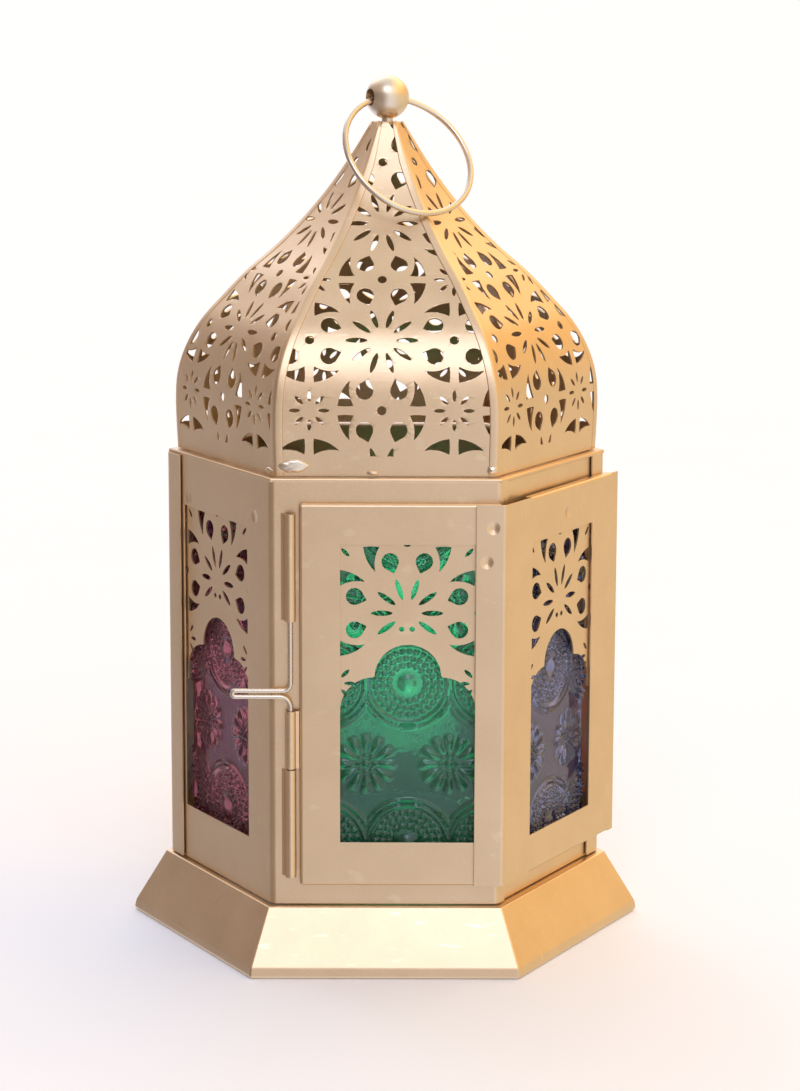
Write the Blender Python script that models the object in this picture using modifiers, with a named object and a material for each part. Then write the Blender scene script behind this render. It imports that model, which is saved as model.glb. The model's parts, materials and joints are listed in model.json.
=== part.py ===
"""Hexagonal candle lantern in folded sheet metal, with a glazed L-shaped door, a wire slide bolt
and a hanging ring.

Metres, +Z up. The origin is the centre of the base on the surface that the lantern stands on, and
the door's broad front face looks along -Y. The six faces are named as seen from the front.
A place on a face is given as n, its distance out from the lantern's axis, and u, the distance
along the face, anticlockwise seen from above. Thicknesses run inwards from an outer face.
"""

import math

import bmesh
import bpy
from mathutils import Matrix, Vector

MM = 0.001
SIXTH = math.radians(60)

# Sheet, glass and clearances
SHEET = 0.4 * MM
GAP = 0.3 * MM
CUT_REACH = 4 * SHEET
GLASS_THICKNESS = 1.8 * MM
GLASS_RECESS = 1.9 * MM
GLASS_LAP = 1.7 * MM

# Base: a flared pan turned upside down, whose top is the lantern's floor
BASE_HEIGHT = 14.8 * MM
BASE_SHEET = 0.6 * MM
BASE_FLARE = 7.95 * MM
BASE_LEDGE = 1.55 * MM
BASE_EDGE = 1.2 * MM
BASE_HEM = 3.0 * MM

# Body: the corner radius is to the outer face of the sheet
BODY_RADIUS = 51.35 * MM
BODY_HEIGHT = 97.1 * MM
LAP_WIDTH = 6.9 * MM
SHORT_RETURN = 3.2 * MM
HINGE_JAMB = 6.0 * MM
LATCH_JAMB = 9.2 * MM
SILL_HEIGHT = 7.4 * MM
LINTEL_HEIGHT = 7.2 * MM
SHOULDER_WIDTH = 7.0 * MM

# Windows of the body's faces, and the plain margins around them
BODY_WINDOW_WIDTH = 32.4 * MM
BODY_WINDOW_SHIFT = -1.8 * MM
BODY_WINDOW_FOOT = 12.9 * MM
BODY_WINDOW_HEAD = 11.6 * MM
STRIP_INSET = 2.5 * MM

# Door: stands proud of the body on a folded rim; its broad face is set back under the side's lap
DOOR_STAND = 2.3 * MM
DOOR_SET_BACK = 0.2 * MM
DOOR_FOOT = 4.9 * MM
DOOR_HEAD = 4.7 * MM
DOOR_EDGE = 6.4 * MM
DOOR_LAP = 7.0 * MM
DOOR_WINDOW_WIDTH = 30.3 * MM
DOOR_WINDOW_FOOT = 10.1 * MM
DOOR_WINDOW_HEAD = 9.1 * MM
FRONT_WINDOW_SHIFT = 5.0 * MM
SIDE_PANE_TO_JAMB = 2.525 * MM
SIDE_WINDOW_DROP = 1.2 * MM

# Fret screens: a ten-slit flower over a three-lobed arch. The sizes are those of a screen for a
# window of FRET_WIDTH, and each screen is scaled to its own window
FRET_WIDTH = 30.3 * MM
FRET_LAP = 1.5 * MM
FRET_FLOWER_DROP = 15.4 * MM
FRET_ARCH_DROP = 37.8 * MM
FRET_SLIT_START = 3.3 * MM
FRET_SLIT_END = 8.4 * MM
FRET_SHORT_SLIT_END = 4.4 * MM
FRET_SLIT_WIDTH = 1.0 * MM
FRET_DROP_DISTANCE = 12.6 * MM
FRET_DROP_RADIUS = 2.0 * MM
FRET_HORN_DISTANCE = 11.9 * MM
FRET_HORN_LENGTH = 5.2 * MM
ARCH_STEPS = 5

# Clips that carry the panes
CLIP_WIDTH = 12.0 * MM
CLIP_LIP = 3.0 * MM

# Hinges: the pin's axis stands off the body's right-hand corner
HINGE_PIN_RADIUS = 0.55 * MM
KNUCKLE_BORE = HINGE_PIN_RADIUS + GAP
KNUCKLE_RADIUS = KNUCKLE_BORE + SHEET
KNUCKLE_HEIGHT = 4.0 * MM
HINGE_REACH = 1.7 * MM
BODY_LEAF_WIDTH = 5.45 * MM
DOOR_LEAF_WIDTH = 6.5 * MM
HINGE_INSET = 15.0 * MM

# Slide bolt: the guides' outer ends keep a margin to the door's top and bottom
WIRE_RADIUS = 0.55 * MM
GUIDE_BORE = WIRE_RADIUS + GAP
GUIDE_RADIUS = GUIDE_BORE + 0.35 * MM
GUIDE_INSET = 4.4 * MM
GUIDE_HEAD = 2.3 * MM
GUIDE_FOOT = 1.85 * MM
KEEPER_LENGTH = 13.2 * MM
KEEPER_DROP = 3.3 * MM
KEEPER_LEG = 0.5 * MM
BOLT_TRAVEL = 15.0 * MM
BOLT_ENGAGED = 1.2 * MM
BOLT_TAIL = 9.5 * MM
BOLT_BEND = 1.6 * MM
HANDLE_RAISE = 0.6 * MM
HANDLE_REACH = 13.0 * MM
HANDLE_PITCH = 1.4 * MM

# Dome
DOME_LEDGE = 2.2 * MM
DOME_HEIGHT = 76.2 * MM
NECK_RADIUS = 3.6 * MM
GORE_SHEET = 0.5 * MM
GORE_STEPS = 12
FLOWER_HEIGHT = 22.8 * MM
FLOWER_RADIUS = 8.6 * MM
FLOWER_HUB = 3.0 * MM
SLIT_WIDTH = 1.1 * MM
GORE_DROP_DISTANCE = 13.2 * MM
GORE_DROP_RADIUS = 1.7 * MM

# Finial and hanging ring: the ball's bore clears the curved wire as the ring turns over
BALL_RADIUS = 5.15 * MM
RING_RADIUS = 15.8 * MM
RING_WIRE = 0.7 * MM
RING_DROP = 0.1 * MM
RING_YAW = math.radians(30.9)
BALL_BORE = RING_WIRE + RING_DROP + BALL_RADIUS**2 / (2 * RING_RADIUS) + GAP
STUD_RADIUS = 1.3 * MM
STUD_SOCKET_FLOOR = 0.7 * MM
STUD_HEAD = 2.8 * MM
STUD_REACH = 5.9 * MM
STUD_EDGE = 0.8 * MM
STUD_CROWN = 0.4 * MM

# Candle cup
CUP_RADIUS = 21.0 * MM
CUP_HEIGHT = 9.0 * MM
RIVET_RADIUS = 1.2 * MM
RIVET_HEAD = 2.6 * MM
RIVET_CROWN = 0.9 * MM
RIVET_TAIL = 2.1 * MM
RIVET_TAIL_HEIGHT = 0.6 * MM
CANDLE_RADIUS = 19.0 * MM
CANDLE_HOLLOW = 4.0 * MM

# The faces' directions, in degrees anticlockwise from +X
FRONT, RIGHT_FRONT, RIGHT_BACK = 270, 330, 30
BACK, LEFT_BACK, LEFT_FRONT = 90, 150, 210

BODY_FACE = BODY_RADIUS * math.cos(SIXTH / 2)
HALF_SIDE = BODY_RADIUS / 2
BODY_FOOT = BASE_HEIGHT + GAP
BODY_TOP = BODY_FOOT + BODY_HEIGHT
RECESSED_FACE = BODY_FACE - SHEET - GAP
LAP_FACE = BODY_FACE + GAP + SHEET
DOOR_FACE = BODY_FACE + DOOR_STAND
DOOR_BOTTOM = BODY_FOOT + DOOR_FOOT
DOOR_TOP = BODY_TOP - DOOR_HEAD
DOOR_FRONT_FACE = DOOR_FACE - DOOR_SET_BACK
DOOR_LAP_FACE = DOOR_FRONT_FACE + GAP + SHEET
DOOR_LATCH_SIDE = -HALF_SIDE + DOOR_EDGE
SHOULDER_TOP = BODY_TOP + GAP + SHEET
DOME_FOOT = SHOULDER_TOP + GAP
DOME_RADIUS = BODY_RADIUS - DOME_LEDGE
BALL_CENTRE = DOME_FOOT + DOME_HEIGHT + GAP + BALL_RADIUS
GUIDE_FACE = BODY_FACE + GAP + GUIDE_RADIUS
GUIDE_SIDE = -HALF_SIDE + GUIDE_INSET
HANDLE_HEIGHT = (DOOR_BOTTOM + DOOR_TOP) / 2 + HANDLE_RAISE
KEEPER_TOP = HANDLE_HEIGHT - HANDLE_PITCH / 2 - KEEPER_DROP

# The dome's outline, as shares of its foot's radius and of its height: upright at the foot,
# round at the shoulder, hollow above it, and nearly straight up to the neck
DOME_OUTLINE = (
    (1.000, 0.000),
    (1.008, 0.140),
    (0.998, 0.235),
    (0.955, 0.320),
    (0.880, 0.400),
    (0.775, 0.475),
    (0.662, 0.550),
    (0.535, 0.620),
    (0.410, 0.700),
    (0.285, 0.795),
    (0.175, 0.895),
)


# ---------------------------------------------------------------- scene and materials


def clear_scene():
    for obj in list(bpy.data.objects):
        bpy.data.objects.remove(obj, do_unlink=True)


def new_collection(name):
    collection = bpy.data.collections.new(name)
    bpy.context.scene.collection.children.link(collection)
    return collection


clear_scene()
LANTERN = new_collection("candle_lantern")
CUTTERS = new_collection("cutters")


def finish(name, colour, metallic, roughness, alpha=1.0):
    material = bpy.data.materials.new(name)
    material.use_nodes = True
    shader = material.node_tree.nodes["Principled BSDF"]
    shader.inputs["Base Color"].default_value = (*colour, 1.0)
    shader.inputs["Metallic"].default_value = metallic
    shader.inputs["Roughness"].default_value = roughness
    shader.inputs["Alpha"].default_value = alpha
    material.diffuse_color = (*colour, alpha)
    return material


GOLD = finish("satin_gold_paint", (0.66, 0.47, 0.24), 0.75, 0.38)
PALE_GOLD = finish("pale_gold_wire", (0.74, 0.60, 0.38), 0.85, 0.30)
OLD_BRASS = finish("old_brass", (0.42, 0.32, 0.18), 0.9, 0.35)
CUP_METAL = finish("plain_tinplate", (0.60, 0.58, 0.53), 0.9, 0.35)
GREEN_GLASS = finish("green_pressed_glass", (0.0, 0.36, 0.14), 0.0, 0.12, 0.5)
RED_GLASS = finish("rose_pressed_glass", (0.34, 0.05, 0.10), 0.0, 0.12, 0.5)
BLUE_GLASS = finish("blue_pressed_glass", (0.08, 0.09, 0.22), 0.0, 0.12, 0.5)


# ---------------------------------------------------------------- making and joining pieces


def piece(name, mesh, material, matrix=None):
    """A node of the lantern, which holds the mesh."""
    obj = bpy.data.objects.new(name, mesh)
    mesh.materials.append(material)
    LANTERN.objects.link(obj)
    if matrix is not None:
        obj.matrix_world = matrix
    return obj


def helper(obj):
    """Turns a piece into a cutter or a part to be joined to another."""
    LANTERN.objects.unlink(obj)
    CUTTERS.objects.link(obj)
    obj.hide_render = True
    obj.display_type = "WIRE"
    return obj


def boolean(target, tool, operation):
    modifier = target.modifiers.new(tool.name, "BOOLEAN")
    modifier.operation = operation
    modifier.solver = "EXACT"
    modifier.object = helper(tool)


def smooth(obj, degrees=40):
    obj.data.shade_smooth()
    obj.data.set_sharp_from_angle(angle=math.radians(degrees))


def meshed(curve, material):
    """A curve object turned into a mesh whose caps are welded on, in the same place."""
    bpy.context.view_layer.update()
    graph = bpy.context.evaluated_depsgraph_get()
    mesh = bpy.data.meshes.new_from_object(curve.evaluated_get(graph))
    welded = bmesh.new()
    welded.from_mesh(mesh)
    bmesh.ops.remove_doubles(welded, verts=welded.verts, dist=0.001 * MM)
    bmesh.ops.recalc_face_normals(welded, faces=welded.faces)
    welded.to_mesh(mesh)
    welded.free()
    mesh.materials.clear()
    name = curve.name
    matrix = curve.matrix_world.copy()
    bpy.data.objects.remove(curve, do_unlink=True)
    return piece(name, mesh, material, matrix)


def poly_curve(name, outlines, closed=True):
    """A curve object with one straight-sided spline for each outline."""
    curve = bpy.data.curves.new(name, "CURVE")
    for outline in outlines:
        spline = curve.splines.new("POLY")
        spline.points.add(len(outline) - 1)
        for point, place in zip(spline.points, outline):
            place = tuple(place)
            point.co = (*place, *(0.0,) * (3 - len(place)), 1.0)
        spline.use_cyclic_u = closed
    obj = bpy.data.objects.new(name, curve)
    LANTERN.objects.link(obj)
    return obj


def plate(name, outlines, thickness, matrix, material):
    """A flat plate: the first outline is its edge and the others are holes through it."""
    obj = poly_curve(name, outlines)
    obj.data.dimensions = "2D"
    obj.data.fill_mode = "BOTH"
    obj.data.extrude = thickness / 2
    obj.matrix_world = matrix
    return meshed(obj, material)


def slab(name, outlines, bottom, top, material):
    """A level plate between two heights, whose outlines are seen from above."""
    middle = Matrix.Translation((0, 0, (bottom + top) / 2))
    return plate(name, outlines, top - bottom, middle, material)


def on_face(angle, outer, thickness):
    """Lays a plate drawn in (u, height) against a face, with its outer side at the distance outer."""
    out = Vector((math.cos(math.radians(angle)), math.sin(math.radians(angle)), 0))
    along = Vector((-out.y, out.x, 0))
    turn = Matrix((along, (0, 0, 1), out)).transposed().to_4x4()
    return turn @ Matrix.Translation((0, 0, outer - thickness / 2))


def face_point(angle, n, u):
    out = math.radians(angle)
    return (n * math.cos(out) - u * math.sin(out), n * math.sin(out) + u * math.cos(out))


def corner(angle, n, next_n):
    """Where a face's plane meets that of the next face anticlockwise, in plan."""
    u = (next_n - n * math.cos(SIXTH)) / math.sin(SIXTH)
    return face_point(angle, n, u)


def start_clear_of(n, previous_inner):
    """The u at which a face's sheet starts, a gap inside the previous face's sheet."""
    return (n * math.cos(SIXTH) - previous_inner + GAP) / math.sin(SIXTH)


def rectangle(left, right, bottom, top):
    return [(left, bottom), (right, bottom), (right, top), (left, top)]


def circle(radius, steps, centre=(0, 0)):
    turns = [2 * math.pi * k / steps for k in range(steps)]
    return [(centre[0] + radius * math.cos(t), centre[1] + radius * math.sin(t)) for t in turns]


def arc(centre, radius, start, end, steps):
    """Points on an arc between two directions in degrees, both ends included."""
    turns = [math.radians(start + (end - start) * k / steps) for k in range(steps + 1)]
    return [(centre[0] + radius * math.cos(t), centre[1] + radius * math.sin(t)) for t in turns]


def box(name, angle, left, right, bottom, top, inner, outer, material=GOLD):
    """A box against a face: left and right along u, inner and outer along n."""
    mesh = bpy.data.meshes.new(name)
    cube = bmesh.new()
    bmesh.ops.create_cube(cube, size=1.0)
    size = (right - left, top - bottom, outer - inner)
    middle = ((left + right) / 2, (bottom + top) / 2, (inner + outer) / 2)
    bmesh.ops.scale(cube, vec=size, verts=cube.verts)
    bmesh.ops.translate(cube, vec=middle, verts=cube.verts)
    cube.to_mesh(mesh)
    cube.free()
    return piece(name, mesh, material, on_face(angle, 0, 0))


def folded_sheet(name, plan, bottom, top, material=GOLD, thickness=SHEET):
    """Sheet folded along upright lines, through points in plan on its outer side, anticlockwise."""
    mesh = bpy.data.meshes.new(name)
    wall = bmesh.new()
    low = [wall.verts.new((*point, bottom)) for point in plan]
    high = [wall.verts.new((*point, top)) for point in plan]
    for k in range(len(plan) - 1):
        wall.faces.new((low[k], low[k + 1], high[k + 1], high[k]))
    wall.to_mesh(mesh)
    wall.free()
    obj = piece(name, mesh, material)
    shell = obj.modifiers.new("thickness", "SOLIDIFY")
    shell.thickness = thickness
    shell.offset = -1
    shell.use_even_offset = True
    return obj


def tube_path(name, points, radius, material):
    """Round wire along a path, with flat ends."""
    obj = poly_curve(name, [points], closed=False)
    obj.data.dimensions = "3D"
    obj.data.bevel_depth = radius
    obj.data.bevel_resolution = 2
    obj.data.use_fill_caps = True
    wire = meshed(obj, material)
    smooth(wire)
    return wire


def ring_outline(outer, bore, steps=16, centre=(0, 0)):
    return [circle(outer, steps, centre), circle(bore, steps, centre)]


def turned(name, profile, steps, material, centre=(0, 0, 0)):
    """A turned piece: its profile (radius, height) runs down its outer side from top to bottom."""
    mesh = bpy.data.meshes.new(name)
    half = bmesh.new()
    points = [half.verts.new((radius, 0, height)) for radius, height in profile]
    for k in range(len(points) - 1):
        half.edges.new((points[k], points[k + 1]))
    half.to_mesh(mesh)
    half.free()
    obj = piece(name, mesh, material, Matrix.Translation(centre))
    screw = obj.modifiers.new("turn", "SCREW")
    screw.steps = steps
    screw.render_steps = steps
    screw.use_merge_vertices = True
    screw.merge_threshold = 0.01 * MM
    smooth(obj)
    return obj


def parented(name, place, children):
    """An empty on a joint's axis, which carries the pieces that turn about it."""
    empty = bpy.data.objects.new(name, None)
    empty.location = place
    LANTERN.objects.link(empty)
    for child in children:
        child.parent = empty
        child.matrix_parent_inverse = Matrix.Translation(place).inverted()
    return empty


# ---------------------------------------------------------------- windows


class Window:
    """A window of one face: its frame's outer side, its edges, and what is fitted behind it."""

    def __init__(self, name, angle, face, centre, width, bottom, top, glass):
        self.name = name
        self.angle = angle
        self.face = face
        self.centre = centre
        self.width = width
        self.bottom = bottom
        self.top = top
        self.glass = glass
        self.left = centre - width / 2
        self.right = centre + width / 2
        self.fret_scale = width / FRET_WIDTH
        self.spring = top - FRET_ARCH_DROP * self.fret_scale

    def cut(self, panel):
        """Cuts the window out of its face's sheet, whose lap may stand proud of the frame."""
        tool = box(f"{panel.name}_window", self.angle, self.left, self.right,
                   self.bottom, self.top, self.face - CUT_REACH, self.face + CUT_REACH)
        boolean(panel, tool, "DIFFERENCE")

    def arch(self):
        """The lower edge of the fret screen, from the right springing to the left one."""
        lobe = self.width / 4
        right = arc((self.centre + lobe, self.spring), lobe, 0, 90, ARCH_STEPS)
        middle = arc((self.centre, self.spring + lobe), lobe * 0.985, 4, 176, 2 * ARCH_STEPS)
        left = arc((self.centre - lobe, self.spring), lobe, 90, 180, ARCH_STEPS)
        return right + middle + left

    def slits(self):
        """The flower's ten slits, the six drops around it and the six horns beyond them."""
        scale = self.fret_scale
        middle = (self.centre, self.top - FRET_FLOWER_DROP * scale)
        holes = []
        for k in range(10):
            end = FRET_SHORT_SLIT_END if k in (7, 8) else FRET_SLIT_END
            holes.append(slit(middle, 36 * k, FRET_SLIT_START * scale, end * scale,
                              FRET_SLIT_WIDTH * scale))
        for direction in (-18, 18, 72, 108, 162, 198):
            holes.append(drop(middle, direction, FRET_DROP_DISTANCE * scale,
                              FRET_DROP_RADIUS * scale))
        for direction in (-32, 32, 57, 123, 148, 212):
            holes.append(horn(middle, direction, FRET_HORN_DISTANCE * scale,
                              FRET_HORN_LENGTH * scale))
        return holes

    def screen(self):
        face = self.face - SHEET - GAP
        foot = self.spring - FRET_LAP
        head = self.top + FRET_LAP
        edge = [(self.right + FRET_LAP, foot), (self.right + FRET_LAP, head),
                (self.left - FRET_LAP, head), (self.left - FRET_LAP, foot), (self.left, foot)]
        outline = edge + self.arch()[::-1] + [(self.right, foot)]
        return plate(f"fret_screen_{self.name}", [outline] + self.slits(), SHEET,
                     on_face(self.angle, face, SHEET), GOLD)

    def pane(self):
        outline = rectangle(self.left - GLASS_LAP, self.right + GLASS_LAP,
                            self.bottom - GLASS_LAP, self.top + GLASS_LAP)
        return plate(f"glass_{self.name}", [outline], GLASS_THICKNESS,
                     on_face(self.angle, self.face - GLASS_RECESS, GLASS_THICKNESS), self.glass)

    def clip(self):
        """A folded strip behind the frame: it carries the pane's lower edge and holds it in."""
        front = self.face - SHEET - GAP
        behind = self.face - GLASS_RECESS - GLASS_THICKNESS - GAP - SHEET
        shelf = self.bottom - GLASS_LAP - GAP
        edge = (self.angle, self.centre - CLIP_WIDTH / 2, self.centre + CLIP_WIDTH / 2)
        strip = box(f"glass_clip_{self.name}", *edge, shelf - SHEET, shelf, behind, front)
        back = box(f"{strip.name}_tab", *edge, shelf - CLIP_LIP, shelf, front - SHEET, front)
        lip = box(f"{strip.name}_lip", *edge, shelf - SHEET, shelf + CLIP_LIP, behind, behind + SHEET)
        boolean(strip, back, "UNION")
        boolean(strip, lip, "UNION")
        return strip

    def fittings(self):
        return [self.screen(), self.pane(), self.clip()]


def turned_shape(shape, centre, direction):
    """Points (out, across) turned to a direction in degrees about a centre."""
    c = math.cos(math.radians(direction))
    s = math.sin(math.radians(direction))
    return [(centre[0] + out * c - side * s, centre[1] + out * s + side * c) for out, side in shape]


def slit(centre, direction, start, end, width):
    middle = (start + end) / 2
    shape = [(start, 0), (middle, -width / 2), (end, 0), (middle, width / 2)]
    return turned_shape(shape, centre, direction)


def drop(centre, direction, distance, radius):
    """A round hole drawn out to a point that faces the flower."""
    rim = arc((distance, 0), radius, -110, 110, 4)
    return turned_shape(rim + [(distance - 1.35 * radius, 0)], centre, direction)


def horn(centre, direction, distance, length):
    """A three-cornered hole whose long point faces the flower."""
    half = 0.36 * length
    shape = [(distance, 0), (distance + length, -half), (distance + length, half)]
    return turned_shape(shape, centre, direction)


def body_window(name, angle, glass):
    return Window(name, angle, BODY_FACE, BODY_WINDOW_SHIFT, BODY_WINDOW_WIDTH,
                  BODY_FOOT + BODY_WINDOW_FOOT, BODY_TOP - BODY_WINDOW_HEAD, glass)


FRONT_WINDOW = Window("front", FRONT, DOOR_FRONT_FACE, FRONT_WINDOW_SHIFT, DOOR_WINDOW_WIDTH,
                      DOOR_BOTTOM + DOOR_WINDOW_FOOT, DOOR_TOP - DOOR_WINDOW_HEAD, GREEN_GLASS)
SIDE_WINDOW_SHIFT = (HALF_SIDE - HINGE_JAMB - SIDE_PANE_TO_JAMB - GLASS_LAP
                     - DOOR_WINDOW_WIDTH / 2)
SIDE_WINDOW = Window("right_front", RIGHT_FRONT, DOOR_FACE, SIDE_WINDOW_SHIFT, DOOR_WINDOW_WIDTH,
                     FRONT_WINDOW.bottom - SIDE_WINDOW_DROP,
                     FRONT_WINDOW.top - SIDE_WINDOW_DROP, BLUE_GLASS)
LEFT_FRONT_WINDOW = body_window("left_front", LEFT_FRONT, RED_GLASS)
LEFT_BACK_WINDOW = body_window("left_back", LEFT_BACK, BLUE_GLASS)
BACK_WINDOW = body_window("back", BACK, GREEN_GLASS)
RIGHT_BACK_WINDOW = body_window("right_back", RIGHT_BACK, RED_GLASS)


# ---------------------------------------------------------------- base and candle cup


def make_base():
    """The flared skirt, its turned-in hem and the floor, as one pressing."""
    top = BODY_RADIUS + BASE_LEDGE
    foot = top + BASE_FLARE
    profile = [(foot - BASE_HEM, 0), (foot, 0), (foot, BASE_EDGE), (top, BASE_HEIGHT)]
    mesh = bpy.data.meshes.new("base_skirt")
    pan = bmesh.new()
    loops = []
    for radius, height in profile:
        loop = [pan.verts.new((*point, height)) for point in circle(radius, 6)]
        loops.append(loop)
    for lower, upper in zip(loops, loops[1:]):
        for k in range(6):
            after = (k + 1) % 6
            pan.faces.new((lower[k], lower[after], upper[after], upper[k]))
    pan.faces.new(loops[-1])
    pan.to_mesh(mesh)
    pan.free()
    skirt = piece("base_skirt", mesh, GOLD)
    shell = skirt.modifiers.new("thickness", "SOLIDIFY")
    shell.thickness = BASE_SHEET
    shell.offset = -1
    shell.use_even_offset = True
    hole = slab("floor_rivet_hole", [circle(RIVET_RADIUS + GAP, 16)],
                BASE_HEIGHT - 3 * BASE_SHEET, BASE_HEIGHT + BASE_SHEET, GOLD)
    boolean(skirt, hole, "DIFFERENCE")
    return skirt


def make_candle_cup():
    """A shallow turned dish held to the floor by one rivet. The candle stands on a ring pressed up
    out of its floor, from CANDLE_HOLLOW to CANDLE_RADIUS and high enough to clear the rivet."""
    seat = BASE_HEIGHT + GAP
    floor = seat + SHEET
    rise = GAP + RIVET_CROWN + GAP
    bore = RIVET_RADIUS + GAP
    rim = seat + CUP_HEIGHT
    under_hollow, under_edge = CANDLE_HOLLOW + SHEET, CANDLE_RADIUS - SHEET
    turned("candle_cup", [(CUP_RADIUS - SHEET, floor), (CUP_RADIUS - SHEET, rim),
                          (CUP_RADIUS, rim), (CUP_RADIUS, seat), (under_edge, seat),
                          (under_edge, seat + rise), (under_hollow, seat + rise),
                          (under_hollow, seat), (bore, seat), (bore, floor),
                          (CANDLE_HOLLOW, floor), (CANDLE_HOLLOW, floor + rise),
                          (CANDLE_RADIUS, floor + rise), (CANDLE_RADIUS, floor),
                          (CUP_RADIUS - SHEET, floor)],
           40, CUP_METAL)
    head = floor + GAP
    tail = BASE_HEIGHT - BASE_SHEET - GAP
    turned("cup_rivet", [(0, head + RIVET_CROWN), (RIVET_HEAD * 0.7, head + RIVET_CROWN * 0.8),
                         (RIVET_HEAD, head), (RIVET_RADIUS, head), (RIVET_RADIUS, tail),
                         (RIVET_TAIL, tail), (RIVET_TAIL, tail - RIVET_TAIL_HEIGHT),
                         (0, tail - RIVET_TAIL_HEIGHT)],
           16, PALE_GOLD)


# ---------------------------------------------------------------- body


def make_front_shell():
    """One sheet: the left front face, the frame round the doorway and a short return past it."""
    start = start_clear_of(BODY_FACE, BODY_FACE - SHEET)
    end = -HALF_SIDE + SHORT_RETURN
    shell = folded_sheet("front_shell",
                         [face_point(LEFT_FRONT, BODY_FACE, start),
                          corner(LEFT_FRONT, BODY_FACE, BODY_FACE),
                          corner(FRONT, BODY_FACE, BODY_FACE),
                          face_point(RIGHT_FRONT, BODY_FACE, end)],
                         BODY_FOOT, BODY_TOP)
    LEFT_FRONT_WINDOW.cut(shell)
    left = -HALF_SIDE + LATCH_JAMB
    bottom = BODY_FOOT + SILL_HEIGHT
    top = BODY_TOP - LINTEL_HEIGHT
    inside, outside = BODY_FACE - CUT_REACH, BODY_FACE + CUT_REACH
    doorway = slab("doorway", [[face_point(FRONT, inside, left), face_point(FRONT, outside, left),
                                corner(FRONT, outside, outside),
                                face_point(RIGHT_FRONT, outside, end + CUT_REACH),
                                face_point(RIGHT_FRONT, inside, end + CUT_REACH),
                                corner(FRONT, inside, inside)]],
                   bottom, top, GOLD)
    boolean(shell, doorway, "DIFFERENCE")
    return shell


def make_back_panels():
    """Three faces, each lapped over the next one anticlockwise; the first also frames the hinges."""
    for name, angle, window in (("right_back_panel", RIGHT_BACK, RIGHT_BACK_WINDOW),
                                ("back_panel", BACK, BACK_WINDOW),
                                ("left_back_panel", LEFT_BACK, LEFT_BACK_WINDOW)):
        if angle == RIGHT_BACK:
            plan = [face_point(RIGHT_FRONT, BODY_FACE, HALF_SIDE - HINGE_JAMB),
                    corner(RIGHT_FRONT, BODY_FACE, BODY_FACE)]
        else:
            plan = [face_point(angle, BODY_FACE, start_clear_of(BODY_FACE, BODY_FACE - SHEET))]
        plan.append(corner(angle, BODY_FACE, LAP_FACE))
        plan.append(face_point(angle + 60, LAP_FACE, -HALF_SIDE + LAP_WIDTH))
        panel = folded_sheet(name, plan, BODY_FOOT, BODY_TOP)
        window.cut(panel)


def make_side_strips():
    """The sill and the lintel of the doorway's right side, set back behind the two jambs."""
    half = HALF_SIDE - STRIP_INSET
    for name, bottom, top in (("side_sill", BODY_FOOT, BODY_FOOT + SILL_HEIGHT),
                              ("side_lintel", BODY_TOP - LINTEL_HEIGHT, BODY_TOP)):
        outline = rectangle(-half, half, bottom, top)
        plate(name, [outline], SHEET, on_face(RIGHT_FRONT, RECESSED_FACE, SHEET), GOLD)


def make_shoulder():
    """The level ledge that closes the body's top edge and carries the dome."""
    slab("roof_shoulder", [circle(BODY_RADIUS, 6), circle(BODY_RADIUS - SHOULDER_WIDTH, 6)],
         SHOULDER_TOP - SHEET, SHOULDER_TOP, GOLD)


# ---------------------------------------------------------------- door


HINGE_FACE = DOOR_FACE - SHEET - GAP - KNUCKLE_RADIUS
HINGE_SIDE = HALF_SIDE + HINGE_REACH
HINGE_AXIS = face_point(RIGHT_FRONT, HINGE_FACE, HINGE_SIDE)
DOOR_HINGE_SIDE = HINGE_SIDE + KNUCKLE_RADIUS
RIM_FACE = BODY_FACE + GAP


def make_door_front():
    """The door's broad face, with a rim folded back on three sides."""
    end = (DOOR_FACE - SHEET - GAP - DOOR_FRONT_FACE * math.cos(SIXTH)) / math.sin(SIXTH)
    plan = [face_point(FRONT, RIM_FACE, DOOR_LATCH_SIDE),
            face_point(FRONT, DOOR_FRONT_FACE, DOOR_LATCH_SIDE),
            face_point(FRONT, DOOR_FRONT_FACE, end - SHEET)]
    panel = folded_sheet("door_front_panel", plan, DOOR_BOTTOM, DOOR_TOP)
    FRONT_WINDOW.cut(panel)
    right = corner(FRONT, RIM_FACE, RIM_FACE)[0] - 2 * SHEET
    for name, bottom in (("door_front_foot_rim", DOOR_BOTTOM),
                         ("door_front_head_rim", DOOR_TOP - SHEET)):
        rim = box(name, FRONT, DOOR_LATCH_SIDE, right, bottom, bottom + SHEET,
                  RIM_FACE, DOOR_FRONT_FACE)
        boolean(panel, rim, "UNION")
    return panel


def make_door_side():
    """The door's right face. It is folded round the corner and lapped over the broad face."""
    fold = HALF_SIDE + DOOR_STAND * math.tan(SIXTH / 2)
    plan = [face_point(FRONT, DOOR_LAP_FACE, fold - DOOR_LAP),
            corner(FRONT, DOOR_LAP_FACE, DOOR_FACE),
            face_point(RIGHT_FRONT, DOOR_FACE, DOOR_HINGE_SIDE)]
    panel = folded_sheet("door_side_panel", plan, DOOR_BOTTOM, DOOR_TOP)
    SIDE_WINDOW.cut(panel)
    left = start_clear_of(DOOR_FACE, DOOR_FRONT_FACE) + SHEET
    for name, bottom in (("door_side_foot_rim", DOOR_BOTTOM),
                         ("door_side_head_rim", DOOR_TOP - SHEET)):
        rim = box(name, RIGHT_FRONT, left, HALF_SIDE, bottom, bottom + SHEET,
                  RIM_FACE, DOOR_FACE - SHEET / 2)
        boolean(panel, rim, "UNION")
    return panel


def knuckle(name, bottom):
    outlines = ring_outline(KNUCKLE_RADIUS, KNUCKLE_BORE, centre=HINGE_AXIS)
    return slab(name, outlines, bottom, bottom + KNUCKLE_HEIGHT, GOLD)


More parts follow.
